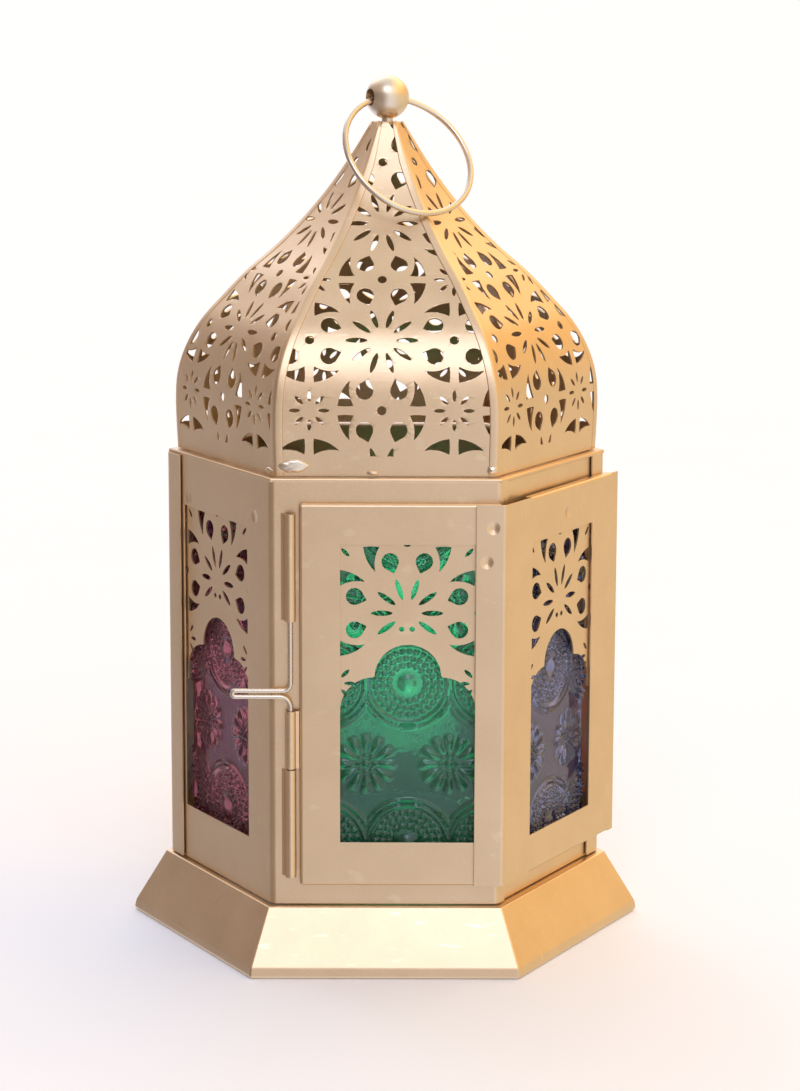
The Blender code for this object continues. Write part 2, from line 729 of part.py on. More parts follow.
def make_hinge(name, middle):
    """A three-knuckle butt hinge: two knuckles on the body's leaf, one on the door's, and a pin."""
    pitch = KNUCKLE_HEIGHT + GAP
    low = middle - KNUCKLE_HEIGHT / 2 - pitch
    edge = HINGE_SIDE - KNUCKLE_RADIUS - GAP
    wall = (RIM_FACE, RIM_FACE + SHEET)
    body_leaf = box(f"{name}_body_leaf", RIGHT_FRONT, edge - BODY_LEAF_WIDTH, edge,
                    low, low + 2 * pitch + KNUCKLE_HEIGHT, *wall)
    for k in (0, 2):
        bottom = low + k * pitch
        neck = box(f"{name}_neck_{k}", RIGHT_FRONT, edge - SHEET, edge + GAP + SHEET / 2,
                   bottom, bottom + KNUCKLE_HEIGHT, *wall)
        boolean(body_leaf, neck, "UNION")
        boolean(body_leaf, knuckle(f"{name}_knuckle_{k}", bottom), "UNION")
    door_leaf = box(f"{name}_door_leaf", RIGHT_FRONT, HINGE_SIDE - DOOR_LEAF_WIDTH, HINGE_SIDE,
                    low + pitch, low + pitch + KNUCKLE_HEIGHT,
                    HINGE_FACE + KNUCKLE_RADIUS - SHEET, HINGE_FACE + KNUCKLE_RADIUS)
    boolean(door_leaf, knuckle(f"{name}_knuckle_1", low + pitch), "UNION")
    pin = slab(f"{name}_pin", [circle(HINGE_PIN_RADIUS, 12, HINGE_AXIS)],
               low - SHEET, low + 2 * pitch + KNUCKLE_HEIGHT + SHEET, PALE_GOLD)
    smooth(pin)
    return body_leaf, door_leaf, pin


def make_keeper():
    """The door's part of the bolt: a trough that is open on the side it swings away from."""
    swing = Vector(GUIDE_PLACE) - Vector(HINGE_AXIS)
    forwards = math.degrees(math.atan2(swing.x, -swing.y))
    rim = GUIDE_BORE + SHEET
    outer = arc((0, 0), rim, -90, 90, 8)
    inner = arc((0, 0), GUIDE_BORE, 90, -90, 8)
    trough = [(-KEEPER_LEG, -rim)] + outer + [(-KEEPER_LEG, rim), (-KEEPER_LEG, GUIDE_BORE)]
    trough += inner + [(-KEEPER_LEG, -GUIDE_BORE)]
    outline = turned_shape(trough, GUIDE_PLACE, forwards)
    bottom = KEEPER_TOP - KEEPER_LENGTH
    keeper = slab("latch_keeper", [outline], bottom, KEEPER_TOP, GOLD)
    tab = box("latch_keeper_tab", FRONT, GUIDE_SIDE + GUIDE_BORE + SHEET / 2, DOOR_LATCH_SIDE - GAP,
              bottom, KEEPER_TOP, GUIDE_FACE - SHEET / 2, GUIDE_FACE + SHEET / 2)
    boolean(keeper, tab, "UNION")
    return keeper


GUIDE_PLACE = face_point(FRONT, GUIDE_FACE, GUIDE_SIDE)
UPPER_GUIDE_BOTTOM = HANDLE_HEIGHT + HANDLE_PITCH / 2 + WIRE_RADIUS + BOLT_TRAVEL + GAP
LOWER_GUIDE_TOP = KEEPER_TOP - KEEPER_LENGTH - GAP


def make_guides():
    """The two tubes on the body's latch jamb that the bolt's legs slide in."""
    outlines = ring_outline(GUIDE_RADIUS, GUIDE_BORE, centre=GUIDE_PLACE)
    for name, bottom, top in (("latch_guide_upper", UPPER_GUIDE_BOTTOM, DOOR_TOP - GUIDE_HEAD),
                              ("latch_guide_lower", DOOR_BOTTOM + GUIDE_FOOT, LOWER_GUIDE_TOP)):
        smooth(slab(name, outlines, bottom, top, GOLD))


def make_bolt():
    """One bent wire: a leg in the upper guide, a doubled loop to push it by, and a leg that runs
    through the keeper into the lower guide."""
    loop = HANDLE_PITCH / 2
    sweep = KEEPER_DROP - GAP
    head = [(0, UPPER_GUIDE_BOTTOM + BOLT_TAIL - HANDLE_HEIGHT)]
    upper = arc((-BOLT_BEND, loop + BOLT_BEND), BOLT_BEND, 0, -90, 4)
    turn = arc((-HANDLE_REACH + loop, 0), loop, 90, 270, 6)
    lower = arc((-sweep, -loop - sweep), sweep, 90, 0, 6)
    foot = [(0, LOWER_GUIDE_TOP - BOLT_ENGAGED - HANDLE_HEIGHT)]
    path = [(side, 0, up) for side, up in head + upper + turn + lower + foot]
    bolt = tube_path("latch_bolt", path, WIRE_RADIUS, PALE_GOLD)
    bolt.matrix_world = Matrix.Translation((*GUIDE_PLACE, HANDLE_HEIGHT))
    return bolt


def make_door():
    carried = [make_door_front(), make_door_side(), make_keeper()]
    carried += FRONT_WINDOW.fittings() + SIDE_WINDOW.fittings()
    for name, middle in (("hinge_upper", DOOR_TOP - HINGE_INSET),
                         ("hinge_lower", DOOR_BOTTOM + HINGE_INSET)):
        carried.append(make_hinge(name, middle)[1])
    parented("door_hinge_axis", (*HINGE_AXIS, 0), carried)


# ---------------------------------------------------------------- dome


def dome_spline():
    """The dome's ridge line as points (radius, height), smoothed through its outline."""
    knots = [(DOME_RADIUS * r, DOME_FOOT + DOME_HEIGHT * h) for r, h in DOME_OUTLINE]
    knots.append((NECK_RADIUS, DOME_FOOT + DOME_HEIGHT))
    points = [Vector(knot) for knot in knots]
    path = [points[0]]
    for k in range(len(points) - 1):
        before = points[max(k - 1, 0)]
        after = points[min(k + 2, len(points) - 1)]
        start, end = points[k], points[k + 1]
        for step in range(1, 9):
            t = step / 8
            path.append(catmull_rom(before, start, end, after, t))
    return path


def catmull_rom(before, start, end, after, t):
    return 0.5 * (2 * start + (end - before) * t + (2 * before - 5 * start + 4 * end - after) * t**2
                  + (3 * start - before - 3 * end + after) * t**3)


RIDGE = dome_spline()


def ridge_at(height):
    """The ridge line's radius at a height."""
    for lower, upper in zip(RIDGE, RIDGE[1:]):
        if height <= upper.y:
            share = (height - lower.y) / (upper.y - lower.y)
            return lower.x + (upper.x - lower.x) * max(share, 0)
    return NECK_RADIUS


def gore_sections():
    """The gore's cross-sections from foot to neck: four corners each, mitred along the ridges."""
    lengths = [0.0]
    for lower, upper in zip(RIDGE, RIDGE[1:]):
        lengths.append(lengths[-1] + (upper - lower).length)
    sections = []
    for k in range(GORE_STEPS + 1):
        wanted = lengths[-1] * k / GORE_STEPS
        at = min(sum(length < wanted - 1e-9 for length in lengths), len(RIDGE) - 1)
        here = RIDGE[at]
        along = (RIDGE[min(at + 1, len(RIDGE) - 1)] - RIDGE[max(at - 1, 0)]).normalized()
        apothem = here.x * math.cos(SIXTH / 2)
        inner_n = apothem - GORE_SHEET * along.y
        inner_z = here.y + GORE_SHEET * along.x
        if k in (0, GORE_STEPS):
            inner_z = here.y
        sections.append([(apothem, here.y), (inner_n, inner_z)])
    return sections


def make_gore(name, angle):
    """One of the dome's six curved faces, pierced with a flower and the drops around it."""
    mitre = GAP / 2 / math.cos(SIXTH / 2)
    mesh = bpy.data.meshes.new(name)
    sheet = bmesh.new()
    loops = []
    for (outer_n, outer_z), (inner_n, inner_z) in gore_sections():
        outer_u = outer_n * math.tan(SIXTH / 2) - mitre
        inner_u = inner_n * math.tan(SIXTH / 2) - mitre
        places = [(-outer_u, outer_z, outer_n), (outer_u, outer_z, outer_n),
                  (inner_u, inner_z, inner_n), (-inner_u, inner_z, inner_n)]
        loops.append([sheet.verts.new(place) for place in places])
    for lower, upper in zip(loops, loops[1:]):
        for k in range(4):
            after = (k + 1) % 4
            sheet.faces.new((lower[k], lower[after], upper[after], upper[k]))
    sheet.faces.new(loops[0][::-1])
    sheet.faces.new(loops[-1])
    bmesh.ops.recalc_face_normals(sheet, faces=sheet.faces)
    sheet.to_mesh(mesh)
    sheet.free()
    gore = piece(name, mesh, GOLD, on_face(angle, 0, 0))
    middle = (0, DOME_FOOT + FLOWER_HEIGHT)
    holes = [slit(middle, 15 + 30 * k, FLOWER_HUB, FLOWER_RADIUS, SLIT_WIDTH) for k in range(12)]
    for direction in (45, 135, 225, 315):
        holes.append(drop(middle, direction, GORE_DROP_DISTANCE, GORE_DROP_RADIUS))
    start, depth = 1.2 * DOME_RADIUS, 0.8 * DOME_RADIUS
    punches = plate(f"{name}_punches", holes, depth, on_face(angle, start, depth), GOLD)
    boolean(gore, punches, "DIFFERENCE")
    return gore


def make_dome():
    for name, angle in (("dome_gore_front", FRONT), ("dome_gore_right_front", RIGHT_FRONT),
                        ("dome_gore_right_back", RIGHT_BACK), ("dome_gore_back", BACK),
                        ("dome_gore_left_back", LEFT_BACK), ("dome_gore_left_front", LEFT_FRONT)):
        make_gore(name, angle)


# ---------------------------------------------------------------- finial and ring


RING_AXIS = Vector((math.cos(RING_YAW), math.sin(RING_YAW), 0))
RING_FORWARDS = Vector((math.sin(RING_YAW), -math.cos(RING_YAW), 0))


def make_finial():
    """A bored ball on a stud, whose head is drawn up inside the dome's neck."""
    centre = (0, 0, BALL_CENTRE)
    mesh = bpy.data.meshes.new("finial_ball")
    ball = bmesh.new()
    bmesh.ops.create_uvsphere(ball, u_segments=24, v_segments=14, radius=BALL_RADIUS)
    ball.to_mesh(mesh)
    ball.free()
    finial = piece("finial_ball", mesh, OLD_BRASS, Matrix.Translation(centre))
    turn = Matrix.Rotation(RING_YAW, 4, "Z") @ Matrix.Rotation(math.pi / 2, 4, "Y")
    bore = plate("ball_bore", [circle(BALL_BORE, 20)], 3 * BALL_RADIUS,
                 Matrix.Translation(centre) @ turn, OLD_BRASS)
    boolean(finial, bore, "DIFFERENCE")
    ceiling = BALL_CENTRE - BALL_BORE - STUD_SOCKET_FLOOR
    socket = slab("ball_socket", [circle(STUD_RADIUS + GAP, 16)],
                  BALL_CENTRE - 2 * BALL_RADIUS, ceiling, OLD_BRASS)
    boolean(finial, socket, "DIFFERENCE")
    smooth(finial)
    top = ceiling - GAP
    head = DOME_FOOT + DOME_HEIGHT - STUD_REACH
    turned("finial_stud", [(0, top), (STUD_RADIUS, top), (STUD_RADIUS, head), (STUD_HEAD, head),
                           (STUD_HEAD, head - STUD_EDGE), (0, head - STUD_EDGE - STUD_CROWN)],
           16, PALE_GOLD)


def ring_points(tilt):
    """Points on the ring's centre line when it leans out by tilt from hanging straight down."""
    hang = RING_FORWARDS * math.sin(tilt) - Vector((0, 0, math.cos(tilt)))
    centre = Vector((0, 0, BALL_CENTRE)) + hang * (RING_DROP + RING_RADIUS)
    turns = [2 * math.pi * k / 90 for k in range(90)]
    points = [centre + RING_RADIUS * (math.cos(t) * hang + math.sin(t) * RING_AXIS) for t in turns]
    return centre, hang, points


def clear_of_dome(tilt):
    """The least distance from the ring's wire to the dome's faces."""
    least = RING_RADIUS
    for point in ring_points(tilt)[2]:
        if point.z > DOME_FOOT + DOME_HEIGHT:
            continue
        slope = (ridge_at(point.z + MM) - ridge_at(point.z - MM)) / (2 * MM)
        out = max(point.x * math.cos(math.radians(a)) + point.y * math.sin(math.radians(a))
                  for a in range(30, 390, 60))
        beyond = out - ridge_at(point.z) * math.cos(SIXTH / 2)
        least = min(least, beyond / math.hypot(1, slope) - RING_WIRE)
    return least


def make_ring():
    """The carrying ring, through the ball's bore, let down until its wire lies on the dome."""
    tilt = math.pi / 2
    while clear_of_dome(tilt - 0.002) > GAP:
        tilt -= 0.002
    centre, hang, _ = ring_points(tilt)
    bpy.ops.mesh.primitive_torus_add(major_segments=56, minor_segments=8,
                                     major_radius=RING_RADIUS, minor_radius=RING_WIRE)
    ring = bpy.context.object
    ring.name = "hanging_ring"
    for collection in list(ring.users_collection):
        collection.objects.unlink(ring)
    LANTERN.objects.link(ring)
    ring.data.materials.append(PALE_GOLD)
    ring.data.transform(Matrix.Translation((RING_DROP + RING_RADIUS, 0, 0)))
    frame = Matrix((hang, RING_AXIS, hang.cross(RING_AXIS))).transposed().to_4x4()
    ring.matrix_world = Matrix.Translation((0, 0, BALL_CENTRE)) @ frame
    smooth(ring)
    return ring


make_base()
make_candle_cup()
make_front_shell()
make_back_panels()
make_side_strips()
make_shoulder()
for body_side in (LEFT_FRONT_WINDOW, LEFT_BACK_WINDOW, BACK_WINDOW, RIGHT_BACK_WINDOW):
    body_side.fittings()
make_door()
make_guides()
make_bolt()
make_dome()
make_finial()
make_ring()
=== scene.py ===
"""Looks of the hexagonal candle lantern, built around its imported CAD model.

Metres, +Z up. The door's broad front face looks along -Y. A place on one of the six faces is
given as n, its distance out from the lantern's axis, u, the distance along the face,
anticlockwise seen from above, and z. Sizes marked MM are in millimetres.
"""

import json
import math

import bmesh
import bpy
import numpy as np
from bpy.props import FloatProperty, FloatVectorProperty, IntProperty, PointerProperty
from mathutils import Matrix, Vector

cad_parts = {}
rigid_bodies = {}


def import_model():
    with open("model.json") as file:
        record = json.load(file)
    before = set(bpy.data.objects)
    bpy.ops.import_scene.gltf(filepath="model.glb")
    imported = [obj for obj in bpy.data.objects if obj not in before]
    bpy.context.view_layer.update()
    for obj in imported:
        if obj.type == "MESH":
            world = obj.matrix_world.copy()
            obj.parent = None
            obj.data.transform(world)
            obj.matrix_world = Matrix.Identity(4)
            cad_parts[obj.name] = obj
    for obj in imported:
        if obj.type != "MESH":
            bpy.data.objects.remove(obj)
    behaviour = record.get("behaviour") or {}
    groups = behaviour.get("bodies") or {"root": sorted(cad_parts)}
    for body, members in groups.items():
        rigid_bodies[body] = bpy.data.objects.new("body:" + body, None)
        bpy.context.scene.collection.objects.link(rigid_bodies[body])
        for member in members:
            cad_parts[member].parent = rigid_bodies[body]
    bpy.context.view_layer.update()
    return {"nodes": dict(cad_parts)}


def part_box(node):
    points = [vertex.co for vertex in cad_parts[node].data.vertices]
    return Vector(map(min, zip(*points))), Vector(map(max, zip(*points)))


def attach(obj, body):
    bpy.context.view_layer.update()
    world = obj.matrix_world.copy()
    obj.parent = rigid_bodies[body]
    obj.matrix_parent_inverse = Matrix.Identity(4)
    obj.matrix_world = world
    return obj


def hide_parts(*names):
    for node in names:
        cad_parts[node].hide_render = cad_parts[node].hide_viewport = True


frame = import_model()

bl_info = {
    "name": "Hexagonal candle lantern",
    "version": (1, 0, 0),
    "blender": (4, 5, 0),
    "location": "3D View > Sidebar > Lantern",
    "description": "Builds the lantern's visible pieces and finishes around its CAD model",
    "category": "Add Mesh",
}

NODES = frame["nodes"]

MM = 0.001
FRONT, RIGHT_FRONT, RIGHT_BACK = 270, 330, 30
BACK, LEFT_BACK, LEFT_FRONT = 90, 150, 210
FACES = {"front": FRONT, "right_front": RIGHT_FRONT, "right_back": RIGHT_BACK,
         "back": BACK, "left_back": LEFT_BACK, "left_front": LEFT_FRONT}
ON_DOOR = ("front", "right_front")
HALF_ANGLE = math.radians(30)


# ---------------------------------------------------------------- places taken from the frame


def place(angle, n, u, z):
    """The point at n, u and z on the face that looks towards angle."""
    a = math.radians(angle)
    return Vector((n * math.cos(a) - u * math.sin(a), n * math.sin(a) + u * math.cos(a), z))


def face_place(angle, point):
    """(n, u) of a point, measured on the face that looks towards angle."""
    a = math.radians(angle)
    return (point[0] * math.cos(a) + point[1] * math.sin(a),
            point[1] * math.cos(a) - point[0] * math.sin(a))


def extent(node, angle):
    """((lowest, highest) n, u and z) of a CAD node, measured on one face."""
    points = [(*face_place(angle, v.co), v.co.z) for v in NODES[node].data.vertices]
    return [(min(axis), max(axis)) for axis in zip(*points)]


def corner(angle, n, next_n):
    """Where this face's plane at n meets the next face's plane at next_n, anticlockwise."""
    u = (next_n - n * math.cos(2 * HALF_ANGLE)) / math.sin(2 * HALF_ANGLE)
    return place(angle, n, u, 0)


SHEET = 0.4 * MM
GLASS_LAP = 1.7 * MM
FRAME_TO_GLASS = 1.9 * MM
FRAME_TO_SCREEN = 0.7 * MM
SCREEN_LAP = 1.5 * MM
SCREEN_SPRING = 37.8 * MM

BODY_FACE = extent("back_panel", BACK)[0][1]
LAP_FACE = extent("back_panel", LEFT_BACK)[0][1]
BODY_FOOT, BODY_TOP = extent("front_shell", FRONT)[2]
BODY_RADIUS = BODY_FACE / math.cos(HALF_ANGLE)
HALF_SIDE = BODY_RADIUS / 2
DOOR_FRONT_FACE = extent("door_front_panel", FRONT)[0][1]
DOOR_RIM_FACE = BODY_FACE + 0.3 * MM
DOOR_FACE = DOOR_FRONT_FACE + 0.2 * MM
DOOR_LAP_FACE = DOOR_FRONT_FACE + 0.7 * MM
DOOR_BOTTOM, DOOR_TOP = extent("door_front_panel", FRONT)[2]
DOOR_LATCH_SIDE = extent("door_front_panel", FRONT)[1][0]
DOOR_HINGE_SIDE = extent("door_side_panel", RIGHT_FRONT)[1][1]
DOOR_LAP_EDGE = extent("door_side_panel", FRONT)[1][0]
DOME_FOOT, DOME_TOP = extent("dome_gore_front", FRONT)[2]
DOME_RADIUS = 49.15 * MM
NECK_RADIUS = 3.6 * MM
BALL_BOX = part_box("finial_ball")
BALL_CENTRE = (BALL_BOX[0] + BALL_BOX[1]) / 2
BALL_RADIUS = (BALL_BOX[1].z - BALL_BOX[0].z) / 2

# The dome's ridge line, as shares of its foot's radius and of its height, up to the neck
DOME_OUTLINE = ((1.0, 0.0), (1.008, 0.14), (0.998, 0.235), (0.955, 0.32), (0.88, 0.4),
                (0.775, 0.475), (0.662, 0.55), (0.535, 0.62), (0.41, 0.7), (0.285, 0.795),
                (0.175, 0.895))


class Opening:
    """A face's window: its edges, and the outer side of the frame round it."""

    def __init__(self, face):
        n, u, z = extent(f"glass_{face}", FACES[face])
        self.face = face
        self.angle = FACES[face]
        self.frame = n[1] + FRAME_TO_GLASS
        self.pane = n
        self.left, self.right = u[0] + GLASS_LAP, u[1] - GLASS_LAP
        self.bottom, self.top = z[0] + GLASS_LAP, z[1] - GLASS_LAP
        self.middle = (self.left + self.right) / 2

    def holds(self, point):
        n, u = face_place(self.angle, point)
        return n > 0 and self.left < u < self.right and self.bottom < point[2] < self.top


OPENINGS = {face: Opening(face) for face in FACES}


# ---------------------------------------------------------------- node trees


class Wire:
    """An output socket in a node tree. Arithmetic on it adds Math nodes."""

    def __init__(self, board, socket):
        self.board = board
        self.socket = socket

    def maths(self, operation, *others):
        return self.board.add("ShaderNodeMath", [self, *others], operation=operation)

    def __add__(self, other):
        return self.maths("ADD", other)

    def __radd__(self, other):
        return self.maths("ADD", other)

    def __sub__(self, other):
        return self.maths("SUBTRACT", other)

    def __rsub__(self, other):
        return self.board.add("ShaderNodeMath", [other, self], operation="SUBTRACT")

    def __mul__(self, other):
        return self.maths("MULTIPLY", other)

    def __rmul__(self, other):
        return self.maths("MULTIPLY", other)

    def __truediv__(self, other):
        return self.maths("DIVIDE", other)

    def __pow__(self, other):
        return self.maths("POWER", other)


class Board:
    """A node tree that is filled by calls."""

    def __init__(self, tree):
        self.tree = tree

    def add(self, kind, sockets=(), out=0, **settings):
        """Adds a node, sets it up, feeds its sockets and gives one of its outputs as a Wire."""
        node = self.tree.nodes.new(kind)
        for name, value in settings.items():
            setattr(node, name, value)
        pairs = sockets.items() if isinstance(sockets, dict) else enumerate(sockets)
        for key, value in pairs:
            if isinstance(value, Wire):
                self.tree.links.new(value.socket, node.inputs[key])
            else:
                node.inputs[key].default_value = value
        return Wire(self, node.outputs[out]) if len(node.outputs) else node

    def joined(self, wires):
        """Joins geometry in the order of the wires."""
        node = self.tree.nodes.new("GeometryNodeJoinGeometry")
        for wire in wires:
            self.tree.links.new(wire.socket, node.inputs[0])
        return Wire(self, node.outputs[0])

    def ramp(self, value, stops):
        """A colour ramp over a value, from (position, colour) stops."""
        node = self.tree.nodes.new("ShaderNodeValToRGB")
        while len(node.color_ramp.elements) < len(stops):
            node.color_ramp.elements.new(0.5)
        for element, (position, colour) in zip(node.color_ramp.elements, stops):
            element.position = position
            element.color = (*colour, 1)
        self.tree.links.new(value.socket, node.inputs[0])
        return Wire(self, node.outputs[0])

    def mix(self, factor, first, second):
        """A colour between first and second."""
        node = self.tree.nodes.new("ShaderNodeMix")
        node.data_type = "RGBA"
        for key, value in ((0, factor), (6, first), (7, second)):
            if isinstance(value, Wire):
                self.tree.links.new(value.socket, node.inputs[key])
            else:
                node.inputs[key].default_value = value if key == 0 else (*value, 1)
        return Wire(self, node.outputs[2])


class Finish(Board):
    """A material's node tree, with the patterns that several finishes share."""

    def __init__(self, name):
        self.material = bpy.data.materials.new(name)
        self.material.use_nodes = True
        super().__init__(self.material.node_tree)
        self.tree.nodes.clear()
        self.spot = self.add("ShaderNodeTexCoord", out="Object")

    def stretched(self, scale, turn=0.0):
        return self.add("ShaderNodeMapping", {"Vector": self.spot, "Scale": scale,
                                              "Rotation": (0, 0, turn)})

    def noise(self, scale, detail=3.0, rough=0.55, at=None):
        return self.add("ShaderNodeTexNoise", {"Vector": at or self.spot, "Scale": scale,
                                               "Detail": detail, "Roughness": rough})

    def window(self, value, low, high, start=0.0, end=1.0):
        """The value's stretch from low to high, spread over start to end and held there."""
        return self.add("ShaderNodeMapRange", {"Value": value, "From Min": low, "From Max": high,
                                               "To Min": start, "To Max": end})

    def bump(self, height, strength, distance, normal=None):
        sockets = {"Height": height, "Strength": strength, "Distance": distance}
        if normal:
            sockets["Normal"] = normal
        return self.add("ShaderNodeBump", sockets)

    def done(self, **sockets):
        """Ends the tree in a Principled BSDF. A name's underscores stand for spaces."""
        shader = self.add("ShaderNodeBsdfPrincipled",
                          {name.replace("_", " "): value for name, value in sockets.items()})
        self.add("ShaderNodeOutputMaterial", {"Surface": shader})
        return self.material


def shade(colour, factor):
    return tuple(min(1.0, c * factor) for c in colour)


def satin_metal(name, colour, dull, rough, metallic=0.9, grain=1.0, marks=()):
    """Lacquered sheet or wire: fine rolled grain, faint blotches, soft dents, small scratches and
    the shallow dimples of spot welds at the marks."""
    f = Finish(name)
    blotch = f.noise(90, 4)
    cloud = f.noise(28, 2)
    speck = f.noise(2600, 2, 0.6)
    rolled = f.noise(420, 3, 0.6, at=f.stretched((1, 1, 7)))
    scratch = f.window(f.noise(150, 2, 0.5, at=f.stretched((1, 9, 1.5), 0.6)), 0.66, 0.72)
    tone = f.window(blotch * 0.6 + cloud * 0.4, 0.38, 0.62)
    body = f.mix(tone, dull, colour)
    flecked = f.mix(f.window(speck, 0.52, 0.7) * 0.22, body, shade(colour, 1.25))
    worn = f.mix(scratch * 0.18, flecked, shade(colour, 1.4))
    gloss = rough + (blotch - 0.5) * 0.16 + (speck - 0.5) * 0.1 - scratch * 0.06
    fine = f.bump(rolled * 0.5 + speck * 0.5, 0.10 * grain, 0.08 * MM)
    soft = f.bump(cloud, 0.30 * grain, 0.8 * MM, fine)
    for mark in marks:
        gap = f.add("ShaderNodeVectorMath", [f.spot, tuple(mark)], out="Value", operation="DISTANCE")
        soft = f.bump(f.window(gap, 0.4 * MM, 1.5 * MM), 0.9, 0.5 * MM, soft)
    return f.done(Base_Color=worn, Metallic=metallic, Roughness=gloss, Normal=soft,
                  Coat_Weight=0.4, Coat_Roughness=0.25)


def pressed_glass(name, colour, painted_shade_colour):
    """Coloured pressed glass: slight colour streaks, mould ripple and tiny seeds, and painted shade
    that darkens the pane's lower part.
    """
    f = Finish(name)
    streak = f.noise(60, 3, 0.5, at=f.stretched((1, 1, 0.4)))
    seed = f.window(f.noise(900, 1), 0.68, 0.74)
    height = f.add("ShaderNodeVectorMath", [f.spot, (0.0, 0.0, 1.0)], out="Value",
                   operation="DOT_PRODUCT")
    # painted shade: below 68 mm the glass fades towards its painted shade colour, fully so below 44 mm, with
    # the streaks blurring the edge
    depth = f.window(height + (streak - 0.5) * (16 * MM), 44 * MM, 68 * MM)
    tint = f.mix(depth, painted_shade_colour, f.mix(f.window(streak, 0.35, 0.65), shade(colour, 0.85), colour))
    ripple = f.noise(330, 2)
    uneven = f.bump(ripple + seed * 0.4, 0.22, 0.2 * MM)
    return f.done(Base_Color=tint, Roughness=0.03 + (streak - 0.4) * 0.05, Normal=uneven,
                  Transmission_Weight=0.88, IOR=1.56)


def tinplate(name, colour):
    """Bare tinned sheet with crystalline spangle and turning marks."""
    f = Finish(name)
    spangle = f.add("ShaderNodeTexVoronoi", {"Vector": f.spot, "Scale": 260.0}, out="Distance")
    marks = f.noise(700, 2, 0.5, at=f.stretched((1, 1, 4)))
    body = f.mix(f.window(spangle, 0.1, 0.7), shade(colour, 0.82), colour)
    return f.done(Base_Color=body, Metallic=0.95, Roughness=0.3 + marks * 0.15,
                  Normal=f.bump(marks, 0.15, 0.1 * MM))


def pale_ground(name, colour):
    """A matt, pale floor with a trace of mottling."""
    f = Finish(name)
    mottle = f.noise(9, 3)
    body = f.mix(f.window(mottle, 0.3, 0.7), shade(colour, 0.985), colour)
    return f.done(Base_Color=body, Roughness=0.75 + (mottle - 0.5) * 0.1,
                  Normal=f.bump(f.noise(500, 2), 0.03, 0.2 * MM))


SPOT_WELDS = [place(FRONT, DOOR_LAP_FACE, 23.8 * MM, 102.3 * MM),
              place(FRONT, DOOR_LAP_FACE, 22.4 * MM, 94.6 * MM),
              place(RIGHT_FRONT, DOOR_FACE, 2.4 * MM, 101.4 * MM),
              place(LEFT_FRONT, BODY_FACE, 18.2 * MM, 103.2 * MM),
              place(LEFT_FRONT, BODY_FACE, -15.2 * MM, 102.6 * MM)]
FINISHES = {}


def finish(name):
    """The named finish, made at its first use from the panel's colours."""
    if name not in FINISHES:
        tint = bpy.context.scene.lantern_finishes
        makers = {
            "gold_paint": lambda: satin_metal(name, tint.gold, tint.gold_dull, tint.gold_rough,
                                              marks=SPOT_WELDS),
            "pale_wire": lambda: satin_metal(name, tint.wire, shade(tint.wire, 0.9), 0.28, 0.95, 0.5),
            "old_brass": lambda: satin_metal(name, tint.brass, shade(tint.brass, 0.88), 0.33, 0.95),
            "tinplate": lambda: tinplate(name, tint.tin),
            # Each pane's second colour is its painted shade, which darkens the pane's lower part
            "green_glass": lambda: pressed_glass(name, tint.green, shade(tint.green, 0.45)),
            "rose_glass": lambda: pressed_glass(name, tint.rose, shade(tint.rose, 0.75)),
            "blue_glass": lambda: pressed_glass(name, tint.blue, shade(tint.blue, 0.8)),
            "ground": lambda: pale_ground(name, tint.ground),
        }
        FINISHES[name] = makers[name]()
    return FINISHES[name]


# ---------------------------------------------------------------- meshes


def linked(name, mesh):
    obj = bpy.data.objects.new(name, mesh)
    bpy.context.scene.collection.objects.link(obj)
    return obj


def from_bmesh(name, bm):
    mesh = bpy.data.meshes.new(name)
    bm.to_mesh(mesh)
    bm.free()
    return linked(name, mesh)


def modified(obj, kind, **settings):
    modifier = obj.modifiers.new(kind.lower(), kind)
    for name, value in settings.items():
        setattr(modifier, name, value)
    return modifier


def plain(obj):
    """Turns an object and its modifiers into a plain mesh of the same name."""
    graph = bpy.context.evaluated_depsgraph_get()
    mesh = bpy.data.meshes.new_from_object(obj.evaluated_get(graph))
    name, matrix = obj.name, obj.matrix_world.copy()
    bpy.data.objects.remove(obj)
    mesh.transform(matrix)
    mesh.name = name
    return linked(name, mesh)


def settled(obj, slot, body, stands_for=(), sharp=32):
    """Gives a finished piece the material of its slot, its shading and the body that it rides on."""
    mesh = obj.data
    mesh.materials.clear()
    mesh.materials.append(finish(slot))
    if not mesh.has_custom_normals:
        mesh.polygons.foreach_set("use_smooth", [sharp > 0] * len(mesh.polygons))
        mesh.set_sharp_from_angle(angle=math.radians(sharp))
    mesh.update()
    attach(obj, body)
    if stands_for:
        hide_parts(*stands_for)
    return obj


def outwards(bm):
    """Turns an open sheet's faces away from the lantern's axis."""
    bmesh.ops.recalc_face_normals(bm, faces=bm.faces)
    facing = sum(f.normal.dot(Vector((*f.calc_center_median().xy, 0))) * f.calc_area() for f in bm.faces)
    if facing < 0:
        bmesh.ops.reverse_faces(bm, faces=bm.faces)


def hexagon(bm, radius, z):
    """The six corners of a level hexagon about the lantern's axis."""
    turns = [math.radians(60 * k) for k in range(6)]
    return [bm.verts.new((radius * math.cos(t), radius * math.sin(t), z)) for t in turns]


def webbed(bm, rows):
    """Fills the cells between rows of corners."""
    for lower, upper in zip(rows, rows[1:]):
        for k in range(len(lower) - 1):
            bm.faces.new((lower[k], lower[k + 1], upper[k + 1], upper[k]))


def mended(obj, work):
    """Does work on an object's mesh and turns its faces outwards."""
    bm = bmesh.new()
    bm.from_mesh(obj.data)
    work(bm)
    bmesh.ops.recalc_face_normals(bm, faces=bm.faces)
    bm.to_mesh(obj.data)
    bm.free()


def stood_up(angle):
    """Turns a flat sheet's X along a face, its Y upwards and its Z outwards."""
    out, along = place(angle, 1, 0, 0), place(angle, 0, 1, 0)
    return Matrix((along, Vector((0, 0, 1)), out)).transposed().to_4x4()


def body_of(face):
    """The body that carries a face's screen and pane."""
    return "door" if face in ON_DOOR else "root"


